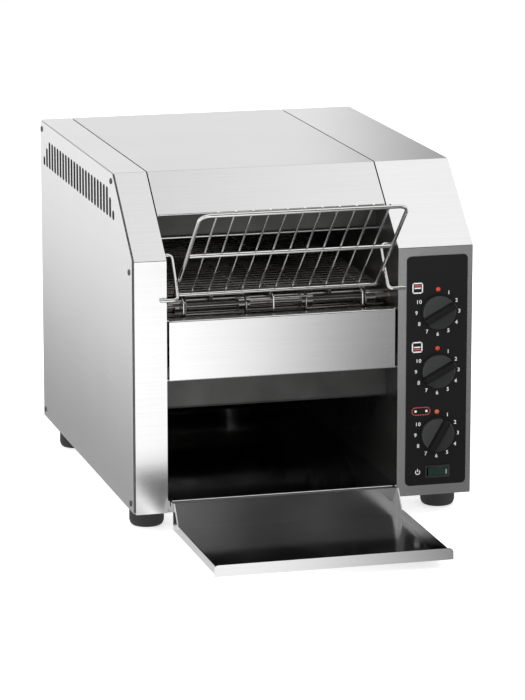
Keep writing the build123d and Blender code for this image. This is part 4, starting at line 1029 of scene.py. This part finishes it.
    def build_knob(self, dial: Dial) -> None:
        """Build a knob as a height over its disc: grip, smooth wall, hollow sides and round rim.

        The height at a distance u across the grip is hollow + (full - hollow) * s, where s falls smoothly
        from 1 to 0 between the grip's top and foot, and the rim is rounded off by a quarter circle.

        Args:
            dial: the dial it turns.
        """
        low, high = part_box(dial.node)
        radius = (high.x - low.x) / 2
        full = high.y - low.y
        close = self.close_rings_from
        share = np.r_[
            np.linspace(0, close, 40), close + (1 - close) * np.sin(np.linspace(0, np.pi / 2, 12))[1:]
        ]
        r = (share * radius)[:, None]
        angle = np.linspace(0, tau, 120, endpoint=False)[None]
        x, y = r * np.cos(angle), r * np.sin(angle)
        grip = radians(dial.turn)
        across = np.abs(-x * np.sin(grip) + y * np.cos(grip))
        wall = np.clip(
            (self.grip_foot_half_width - across) / (self.grip_foot_half_width - self.grip_half_width), 0, 1
        )
        wall = wall * wall * (3 - 2 * wall)
        fall = np.clip((across - self.grip_foot_half_width) / (radius - self.grip_foot_half_width), 0, 1)
        hollow = self.hollow_height + (self.rim_height - self.hollow_height) * fall
        height = hollow + (full - hollow) * wall
        over = np.clip((r - (radius - self.edge_round)) / self.edge_round, 0, 1)
        height = height - self.edge_round * (1 - np.sqrt(1 - over**2))
        whole = facing_front(over_disc(x, y, height), (self.x, high.y, dial.height))
        piece = add_piece(f"{dial.node}_moulding", whole, KNOB, dial.body, self.moulding_smooth)
        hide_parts(dial.node)
        # The grip's faces take the darker copy of the knob plastic: painted shade on the grip.
        piece.data.materials.append(KNOB_GRIP_SHADE.material())
        centres = np.zeros(len(piece.data.polygons) * 3)
        piece.data.polygons.foreach_get("center", centres)
        centres = centres.reshape(-1, 3) - np.array([self.x, 0.0, dial.height])
        offset = np.abs(-centres[:, 0] * np.sin(grip) + centres[:, 2] * np.cos(grip))
        grip_shade_faces = (offset < self.grip_foot_half_width) & (centres[:, 1] < high.y - self.edge_round)
        piece.data.polygons.foreach_set("material_index", grip_shade_faces.astype(np.int32))


# ------------------------------------------------------------------ belt
@dataclass
class WireBelt:
    """Round belt wires, one link apart, that step from row to row."""

    pitch: float = 12.0 * MM
    rows: int = 29
    nose_links: int = 3
    section: float = 65.2 * MM
    bends: int = 4
    end_run: float = 18.8 * MM
    radius: float = 0.85 * MM
    corner: float = 1.5 * MM
    jog: float = 9.9 * MM

    def build(self) -> None:
        """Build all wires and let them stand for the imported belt."""
        low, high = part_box("wire_belt")
        middle_x = (low.x + high.x) / 2
        wire = self.wire()
        places = self.places(middle_x)
        piece = add_piece("belt_wires", wire.placed(places), BELT_WIRE, BODY)
        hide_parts("wire_belt")

    def wire(self) -> Surface:
        """One wire, flat: level runs joined by jogs, with rounded corners.

        Returns:
            The wire about its own middle, running along X.
        """
        bend_x = (np.arange(self.bends) - (self.bends - 1) / 2) * self.section
        ends = (bend_x[0] - self.end_run, bend_x[-1] + self.end_run)
        x = np.r_[ends[0], np.repeat(bend_x, 2), ends[1]]
        level = np.r_[0, np.repeat(np.arange(self.bends + 1) % 2, 2)[1:-1], self.bends % 2] * self.jog
        corners = np.c_[x, level, 0 * x]
        return tube(rounded(corners, self.corner), self.radius, np.array([0.0, 0.0, 1.0]))

    def places(self, middle_x: float) -> Array:
        """Places of the wires round the belt: a run, a nose, the run below and the other nose.

        Args:
            middle_x: X of the belt's middle.

        Returns:
            n x 4 x 4 matrices.
        """
        shaft_low, shaft_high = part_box("front_belt_shaft")
        front_y = (shaft_low.y + shaft_high.y) / 2
        axis_z = (shaft_low.z + shaft_high.z) / 2
        turn = np.pi / self.nose_links
        half = -(np.arange(self.nose_links) + 0.5) * turn
        heading = np.r_[np.zeros(self.rows), half, np.full(self.rows, -np.pi), half - np.pi]
        reach = self.pitch / (2 * np.sin(turn / 2))
        steps = np.c_[np.cos(heading), np.sin(heading)] * self.pitch
        start = np.r_[np.zeros((1, 2)), np.cumsum(steps, axis=0)[:-1]]
        matrices = np.zeros((len(heading), 4, 4))
        matrices[:, 0, 0] = matrices[:, 3, 3] = 1.0
        matrices[:, 1, 1] = matrices[:, 2, 2] = np.cos(heading)
        matrices[:, 1, 2] = -np.sin(heading)
        matrices[:, 2, 1] = np.sin(heading)
        matrices[:, 0, 3] = middle_x
        matrices[:, 1, 3] = front_y + start[:, 0]
        matrices[:, 2, 3] = axis_z + reach + start[:, 1]
        return matrices


# ------------------------------------------------------------------ feet
@dataclass
class RubberFeet:
    """Moulded rubber feet with a round lower edge and a counterbored hole for the screw."""

    radius: float = 18.5 * MM
    base_radius: float = 14.5 * MM
    edge_height: float = 7.0 * MM
    widest_height: float = 17.5 * MM
    neck_radius: float = 15.5 * MM
    neck_height: float = 24.9 * MM
    bore: float = 3.2 * MM
    counterbore: float = 5.2 * MM
    counterbore_depth: float = 5.2 * MM
    chamfer: float = 0.5 * MM
    shoulder: float = 0.9 * MM

    def profile(self) -> Array:
        """Section of a foot: the lower edge is a quarter ellipse between the base and the widest radius.

        Returns:
            n x 2 radii and heights, whose last point is the first again.
        """
        t = np.linspace(0, np.pi / 2, 9)
        edge_r = self.base_radius + (self.radius - self.base_radius) * np.sin(t)
        edge_z = self.edge_height * (1 - np.cos(t))
        inner = [
            (self.bore, self.neck_height),
            (self.bore, self.counterbore_depth),
            (self.counterbore, self.counterbore_depth),
            (self.counterbore, self.chamfer),
            (self.counterbore + self.chamfer, 0.0),
        ]
        outer = [
            (self.radius, self.widest_height),
            (self.radius - self.chamfer, self.widest_height + self.shoulder),
            (self.neck_radius, self.neck_height),
            (self.bore, self.neck_height),
        ]
        return np.concatenate([inner, np.c_[edge_r, edge_z], outer])

    def build(self) -> None:
        """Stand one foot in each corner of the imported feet's box."""
        low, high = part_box("feet")
        matrices = np.tile(np.eye(4), (4, 1, 1))
        matrices[:, 0, 3] = np.repeat([low.x + self.radius, high.x - self.radius], 2)
        matrices[:, 1, 3] = np.tile([low.y + self.radius, high.y - self.radius], 2)
        piece = add_piece("foot_mouldings", turned(self.profile(), 40).placed(matrices), RUBBER, BODY)
        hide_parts("feet")


# ------------------------------------------------------------------ fasteners
# Turns that let a head on +Z stand out from the left side, the right side and the rear.
LEFT_TURN = np.array([[0, 0, -1, 0], [0, 1, 0, 0], [1, 0, 0, 0], [0, 0, 0, 1]], float)
RIGHT_TURN = np.array([[0, 0, 1, 0], [0, 1, 0, 0], [-1, 0, 0, 0], [0, 0, 0, 1]], float)
REAR_TURN = np.array([[1, 0, 0, 0], [0, 0, 1, 0], [0, -1, 0, 0], [0, 0, 0, 1]], float)


def placed_at(turn: Array, place: Point) -> Array:
    """A turn followed by a move to a place.

    Args:
        turn: 4 x 4 matrix.
        place: where the origin goes.

    Returns:
        The 4 x 4 matrix.
    """
    matrix = turn.copy()
    matrix[:3, 3] = place
    return matrix


@dataclass
class Fasteners:
    """Screw heads on the side panels and the rear panel.

    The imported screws' box gives the four outer heads of a side. The two heads beside the slope stand at their
    own height and set-back.
    """

    head_radius: float = 3.2 * MM
    head_height: float = 1.3 * MM
    recess_width: float = 0.55 * MM
    recess_reach: float = 1.9 * MM
    recess_depth: float = 0.8 * MM
    dome_share: float = 0.93
    panel_set_back: float = 6.0 * MM
    slope_head_set_back: float = 99.0 * MM
    slope_head_height: float = 279.4 * MM
    rear_head_inset: float = 9.0 * MM
    rear_heads_across: int = 4

    def head(self) -> Surface:
        """A domed head with a cross recess: the dome's height less the recess depth inside the cross.

        Returns:
            The head, standing on +Z.
        """
        share = np.linspace(0, 1, 18)[:, None]
        angle = np.linspace(0, tau, 48, endpoint=False)[None]
        x, y = share * np.cos(angle) * self.head_radius, share * np.sin(angle) * self.head_radius
        dome = self.head_height * np.sqrt(np.clip(1 - (self.dome_share * share) ** 4, 0, 1)) + 0 * angle
        near = np.minimum(np.abs(x), np.abs(y)) < self.recess_width
        inside = near & (np.hypot(x, y) < self.recess_reach)
        return over_disc(x, y, dome - self.recess_depth * inside)

    def build(self) -> None:
        """Build all heads."""
        head = self.head()
        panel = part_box("left_side_panel")
        right_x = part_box("right_side_panel")[1].x
        side_places = self.side_places(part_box("side_panel_screws"), panel)
        sides = ((LEFT_TURN, panel[0].x), (RIGHT_TURN, right_x))
        heads = [placed_at(turn, (x, y, z)) for turn, x in sides for y, z in side_places]
        piece = add_piece("side_screw_heads", head.placed(np.array(heads)), SCREW, BODY)
        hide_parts("side_panel_screws")
        low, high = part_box("rear_panel")
        inset = self.rear_head_inset
        rows = np.linspace(low.x + inset, high.x - inset, self.rear_heads_across)
        heads = [placed_at(REAR_TURN, (x, high.y, z)) for x in rows for z in (low.z + inset, high.z - inset)]
        add_piece("rear_screw_heads", head.placed(np.array(heads)), SCREW, BODY)

    def side_places(self, screws: Box, panel: Box) -> list[Span]:
        """Middles of the heads of one side.

        Args:
            screws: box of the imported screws.
            panel: box of the side panel.

        Returns:
            Y and Z of each head.
        """
        low_y, high_y = screws[0].y + self.head_radius, screws[1].y - self.head_radius
        low_z, high_z = screws[0].z + self.head_radius, screws[1].z - self.head_radius
        slope_y = panel[0].y - self.panel_set_back + self.slope_head_set_back
        return [
            (low_y, self.slope_head_height), (low_y, low_z),
            (slope_y, high_z), (high_y, high_z), (high_y, low_z)
        ]


# ------------------------------------------------------------------ vents
@dataclass
class VentEdges:
    """Near-black edges that line the slots of both side panels and lap a little over their faces: painted shade
    for the dark inside the slots.
    """

    count: int = 25
    first: float = 88.8 * MM
    pitch: float = 14.6208 * MM
    width: float = 5.4 * MM
    foot: float = 323.0 * MM
    heights: tuple[float, float, float] = (7.0 * MM, 18.5 * MM, 27.7 * MM)
    panel_set_back: float = 6.0 * MM
    sheet: float = 1.2 * MM
    wall: float = 0.2 * MM
    lap: float = 1.35 * MM
    proud: float = 0.12 * MM
    clearance: float = 0.02 * MM
    corner: float = 0.9 * MM
    stop_foot: float = 346.6 * MM
    stop_depth: float = 0.3 * MM
    corner_angles: tuple[float, ...] = (0.0, 30.0, 60.0, 90.0)

    def build(self) -> None:
        """Build the edges of both sides."""
        for name, side in (("left", -1.0), ("right", 1.0)):
            low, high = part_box(f"{name}_side_panel")
            face_x = low.x if side < 0 else high.x
            front_y = low.y - self.panel_set_back
            heights = [self.heights[min(i, self.count - 1 - i, 2)] for i in range(self.count)]
            places = [front_y + self.first + i * self.pitch for i in range(self.count)]
            edges = [self.edge(y, height) for y, height in zip(places, heights)]
            shade_strips = [
                self.stop(y, height)
                for y, height in zip(places, heights)
                if self.foot + height > self.stop_foot
            ]
            whole = join(edges + shade_strips)
            whole.vertices = whole.vertices * (side, 1.0, 1.0) + (face_x, 0.0, 0.0)
            # The near-black edges and strips are painted shade inside the slots.
            add_piece(f"{name}_vent_painted_shade", whole, SLOT_PAINTED_SHADE, BODY)

    def stop(self, y: float, height: float) -> Surface:
        """Strip of painted shade that covers the casing's fold where a full slot runs over it.

        Args:
            y: middle of the slot along the panel.
            height: height of the slot.

        Returns:
            The closed strip, with X outwards from the panel's face.
        """
        half = self.width / 2 - self.wall - self.clearance
        depths = (self.clearance - self.sheet, self.stop_depth - self.sheet)
        levels = (self.stop_foot, self.foot + height - self.wall - self.clearance)
        corners = np.array([(x, y + across, z) for x in depths for across in (-half, half) for z in levels])
        faces = np.array([(0, 1, 3, 2), (4, 6, 7, 5), (0, 4, 5, 1), (2, 3, 7, 6), (0, 2, 6, 4), (1, 5, 7, 3)])
        return Surface(corners, faces)

    def edge(self, y: float, height: float) -> Surface:
        """One edge: an L-shaped profile carried round the slot's outline with rounded corners.

        A point is the middle of the corner's arc plus (corner radius + offset) times the direction of the
        arc, and stands out from the face by the profile's height.

        Args:
            y: middle of the slot along the panel.
            height: height of the slot.

        Returns:
            The closed edge, with X outwards from the panel's face.
        """
        offset = np.array([-self.wall, -self.wall, self.lap, self.lap, -self.clearance, -self.clearance])
        out = np.array([-self.sheet, self.proud, self.proud, self.clearance, self.clearance, -self.sheet])
        angle = np.radians(np.arange(4)[:, None] * 90 + np.array(self.corner_angles)).reshape(-1)
        turn = np.repeat(np.radians(np.arange(4) * 90 + 45), len(self.corner_angles))
        middle_y = y + np.sign(np.cos(turn)) * (self.width / 2 - self.corner)
        middle_z = self.foot + height / 2 + np.sign(np.sin(turn)) * (height / 2 - self.corner)
        reach = self.corner + offset
        ring_y = middle_y[:, None] + np.cos(angle)[:, None] * reach
        ring_z = middle_z[:, None] + np.sin(angle)[:, None] * reach
        points = np.stack([np.broadcast_to(out, ring_y.shape), ring_y, ring_z], axis=-1)
        points = np.concatenate([points, points[:1]])
        return Surface(points.reshape(-1, 3), grid_faces(len(points), len(offset)))


# ------------------------------------------------------------------ seams and their painted shadow lines
@dataclass
class PanelSeams:
    """Dark line of painted shadow in the corner between each side panel's edge and the casing's fold."""

    front: float = 5.5 * MM
    slope: float = 2.5 * MM
    top: float = 1.1 * MM
    foot: float = 25.6 * MM
    panel_set_back: float = 6.0 * MM
    slope_depth: float = 89.0 * MM
    slope_foot_height: float = 293.4 * MM
    body_height: float = 371.0 * MM
    radius: float = 0.36 * MM
    depth: float = 0.6 * MM
    bend: float = 1.0 * MM

    def build(self) -> None:
        """Lay one painted shadow line along the front and the slope of each panel."""
        for name, side in (("left", -1.0), ("right", 1.0)):
            low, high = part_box(f"{name}_side_panel")
            face_x = low.x if side < 0 else high.x
            path = self.path(face_x - side * self.depth, low.y - self.panel_set_back)
            shadow_line = tube(rounded(path, self.bend), self.radius, np.array([1.0, 0.0, 0.0]))
            add_piece(f"{name}_panel_shadow_line", shadow_line, SEAM_PAINTED_SHADOW, BODY)

    def path(self, x: float, front_y: float) -> Array:
        """Corners of the painted shadow line's middle, set in from the front, the slope and the top of the
        body.

        Args:
            x: plane of the line.
            front_y: front plane of the body.

        Returns:
            3 x 3 points.
        """
        rise = (self.body_height - self.slope_foot_height) / self.slope_depth
        drop = self.slope * np.hypot(1.0, rise)
        low_z = self.slope_foot_height + self.front * rise - drop
        high_z = self.body_height - self.top
        back = (high_z - self.slope_foot_height + drop) / rise
        places = [(self.front, self.foot), (self.front, low_z), (back, high_z)]
        return np.array([(x, front_y + y, z) for y, z in places])


# ------------------------------------------------------------------ studio
LEFT_TO_RIGHT = (1.0, 0.0, 0.0)
FRONT_TO_REAR = (0.0, 1.0, 0.0)
JUST_OVER_FLOOR = 0.001


def stand(thing: bpy.types.Object, place: Point, target: Point) -> None:
    """Put a camera or a lamp at a place and turn it towards a point.

    Args:
        thing: the camera or lamp.
        place: where it stands.
        target: the point it faces.
    """
    bpy.context.scene.collection.objects.link(thing)
    thing.location = place
    aim = Vector(target) - Vector(place)
    thing.rotation_euler = aim.to_track_quat("-Z", "Y").to_euler()


def glowing_sheet(name: str, corners: Corners, finish: str) -> tuple[bpy.types.Object, Graph, bpy.types.Node]:
    """A four-cornered sheet with a white glow whose strength is still to be set.

    Args:
        name: name of the sheet.
        corners: its corners in order.
        finish: name of its material.

    Returns:
        The object, the graph of its material and its shader.
    """
    mesh = bpy.data.meshes.new(name)
    mesh.from_pydata(corners, [], [(0, 1, 2, 3)])
    material = bpy.data.materials.new(finish)
    material.use_nodes = True
    shader = material.node_tree.nodes["Principled BSDF"]
    shader.inputs["Emission Color"].default_value = WHITE
    mesh.materials.append(material)
    sheet = bpy.data.objects.new(name, mesh)
    bpy.context.scene.collection.objects.link(sheet)
    return sheet, Graph(material.node_tree), shader


@dataclass
class SoftBox:
    """A flat soft box: its place, the point it faces, its size and its power."""

    name: str
    place: Point
    target: Point
    size: Span
    power: float

    def build(self) -> None:
        """Hang the box, which lights matt surfaces. Gloss mirrors the surround and the graded cards alone."""
        data = bpy.data.lights.new(self.name, "AREA")
        data.shape = "RECTANGLE"
        data.size, data.size_y = self.size
        data.energy = self.power
        lamp = bpy.data.objects.new(self.name, data)
        lamp.visible_glossy = False
        stand(lamp, self.place, self.target)


@dataclass
class GradedCard:
    """A graduated reflector that only gloss sees.

    Its level goes smoothly from one value to another along a line across it: it is first where the way, the
    sum of the slants times the place, equals the start, and last where it equals the end.
    """

    name: str
    corners: Corners
    slants: Point
    start: float
    end: float
    first: float
    last: float

    def build(self) -> None:
        """Lay the card out and hide it from every ray but gloss."""
        card, graph, shader = glowing_sheet(self.name, self.corners, self.name)
        way = graph.node("ShaderNodeVectorMath", operation="DOT_PRODUCT")
        graph.link(graph.node("ShaderNodeTexCoord").outputs["Object"], way.inputs[0])
        way.inputs[1].default_value = self.slants
        level = graph.spread(way.outputs["Value"], self.start, self.end, self.first, self.last)
        level.node.interpolation_type = "SMOOTHSTEP"
        graph.link(level, shader.inputs["Emission Strength"])
        shader.inputs["Base Color"].default_value = (0.0, 0.0, 0.0, 1.0)
        shader.inputs["Specular IOR Level"].default_value = 0.0
        card.visible_camera = card.visible_diffuse = card.visible_shadow = False
        card.visible_transmission = card.visible_volume_scatter = False


def flat_card(x: Span, y: Span, z: float = JUST_OVER_FLOOR) -> Corners:
    """Corners of a level card.

    Args:
        x: the X values of its two sides.
        y: the Y values of its two ends.
        z: its height.

    Returns:
        The four corners.
    """
    return ((x[0], y[0], z), (x[1], y[0], z), (x[1], y[1], z), (x[0], y[1], z))


def upright_card(x: Span, y: float, z: Span) -> Corners:
    """Corners of a card that stands square to Y.

    Args:
        x: the X values of its two sides.
        y: where it stands.
        z: the heights of its foot and top.

    Returns:
        The four corners.
    """
    return ((x[0], y, z[0]), (x[1], y, z[0]), (x[1], y, z[1]), (x[0], y, z[1]))


REAR_HIGH_CORNERS = ((-0.9, 1.5, 1.05), (1.8, 1.5, 1.05), (1.8, 0.6, 2.05), (-0.9, 0.6, 2.05))


def white_rays(graph: Graph) -> Socket:
    """One for the rays that see a background: from the camera, by gloss and through glass.

    Args:
        graph: graph of the material or the world.

    Returns:
        The value, 0 or 1.
    """
    path = graph.node("ShaderNodeLightPath")
    seen = graph.math("MAXIMUM", path.outputs["Is Camera Ray"], path.outputs["Is Glossy Ray"])
    return graph.math("MAXIMUM", seen, path.outputs["Is Transmission Ray"])


@dataclass
class Studio:
    """Camera, lamps, floor and the pale surround."""

    camera_place: Point = (-1.0122, -3.7015, 1.0236)
    camera_target: Point = (0.0078, 0.0615, 0.1467)
    lens: float = 187.07
    clip: Span = (0.1, 50.0)
    lamps: tuple[SoftBox, ...] = (
        SoftBox("key_box", (-1.6, -1.6, 2.2), (0.0, 0.0, 0.2), (3.2, 2.4), 42.0),
        SoftBox("top_box", (0.2, 0.9, 2.3), (0.0, 0.0, 0.3), (3.0, 2.4), 34.0),
        SoftBox("fill_box", (2.0, -1.4, 1.2), (0.0, 0.0, 0.2), (1.6, 1.8), 8.0),
    )
    cards: tuple[GradedCard, ...] = (
        GradedCard(
            "front_card", flat_card((-0.15, 1.8), (-3.0, -0.14)), (1.0, 0.295, 0.0), -0.24, 0.1, 1.62, 0.2
        ),
        GradedCard(
            "front_left_card", flat_card((-1.5, -0.34), (-3.0, -0.12)), LEFT_TO_RIGHT,
            -0.15, -0.45, 0.85, 1.15
        ),
        GradedCard(
            "tray_side_card", flat_card((-0.34, -0.15), (-0.7, -0.12)), FRONT_TO_REAR,
            -0.31, -0.17, 0.95, 0.85
        ),
        GradedCard(
            "near_left_card", flat_card((-0.34, -0.15), (-3.0, -0.7)), LEFT_TO_RIGHT, -0.15, -0.34, 1.0, 1.0
        ),
        GradedCard(
            "left_card", flat_card((-1.5, -0.19), (-0.12, 3.4)), LEFT_TO_RIGHT, -0.22, -0.62, 0.42, 1.15
        ),
        GradedCard("right_card", flat_card((0.19, 1.8), (-0.14, 3.4)), LEFT_TO_RIGHT, 0.22, 0.62, 0.42, 1.15),
        GradedCard(
            "rear_floor_card", flat_card((-0.19, 0.19), (0.33, 3.4)), FRONT_TO_REAR, 0.35, 0.95, 0.45, 1.1
        ),
        GradedCard(
            "rear_card", upright_card((0.16, 1.2), 0.9, (0.3, 1.1)), LEFT_TO_RIGHT, 0.27, 0.52, 1.0, 0.45
        ),
        GradedCard("camera_side_card", upright_card((-1.6, 2.2), -3.0, (0.2, 3.2)), (1.0, 0.0, 0.6),
                   0.6, 1.2, 1.05, 0.06),
        GradedCard(
            "far_left_card", upright_card((-5.0, -1.6), -3.0, (0.2, 3.2)), LEFT_TO_RIGHT, -1.6, -2.8, 1.1, 0.6
        ),
        GradedCard(
            "far_right_card", upright_card((2.2, 5.5), -3.0, (0.2, 3.2)), LEFT_TO_RIGHT, 2.2, 3.0, 0.06, 0.7
        ),
        GradedCard("rear_high_card", REAR_HIGH_CORNERS, LEFT_TO_RIGHT, -0.8, 1.6, 0.44, 0.54),
        GradedCard(
            "overhead_card", flat_card((-0.6, 0.9), (-0.7, 0.35), 1.25), LEFT_TO_RIGHT, 0.0, 0.38, 1.1, 1.32
        ),
    )
    surround: float = 0.75
    floor_half: float = 4.0
    floor_level: float = 0.86
    floor_roughness: float = 0.8
    floor_glow: float = 0.55

    def build(self) -> None:
        """Build the whole studio."""
        self.build_camera()
        self.build_world()
        self.build_floor()
        for light in self.lamps + self.cards:
            light.build()
        bpy.context.scene.view_settings.view_transform = "Standard"

    def build_camera(self) -> None:
        """Stand the camera where it sees the machine from the front left, a little above."""
        data = bpy.data.cameras.new("camera")
        data.lens = self.lens
        data.clip_start, data.clip_end = self.clip
        camera = bpy.data.objects.new("camera", data)
        stand(camera, self.camera_place, self.camera_target)
        bpy.context.scene.camera = camera

    def build_world(self) -> None:
        """White for what looks at the surround, a softer level for what it lights."""
        world = bpy.data.worlds.new("surround")
        bpy.context.scene.world = world
        world.use_nodes = True
        graph = Graph(world.node_tree)
        background = world.node_tree.nodes["Background"]
        level = graph.spread(white_rays(graph), 0.0, 1.0, self.surround, 1.0)
        graph.link(level, background.inputs["Strength"])
        background.inputs["Color"].default_value = WHITE

    def build_floor(self) -> None:
        """A pale floor that keeps the soft shadow and shows white away from it."""
        half = self.floor_half
        corners = flat_card((-half, half), (-half, half), 0.0)
        floor, graph, shader = glowing_sheet("floor", corners, "floor_card")
        shader.inputs["Roughness"].default_value = self.floor_roughness
        shader.inputs["Base Color"].default_value = (
            self.floor_level, self.floor_level, self.floor_level, 1.0
        )
        graph.link(
            graph.math("MULTIPLY", white_rays(graph), self.floor_glow), shader.inputs["Emission Strength"]
        )


def main() -> None:
    """Load the frame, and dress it."""
    logging.basicConfig(level=logging.INFO, format="%(message)s")
    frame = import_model()
    Studio().build()
    dress_nodes(frame["nodes"])
    ControlPanel().build()
    WireBelt().build()
    RubberFeet().build()
    Fasteners().build()
    VentEdges().build()
    PanelSeams().build()


if __name__ == "__main__":
    main()
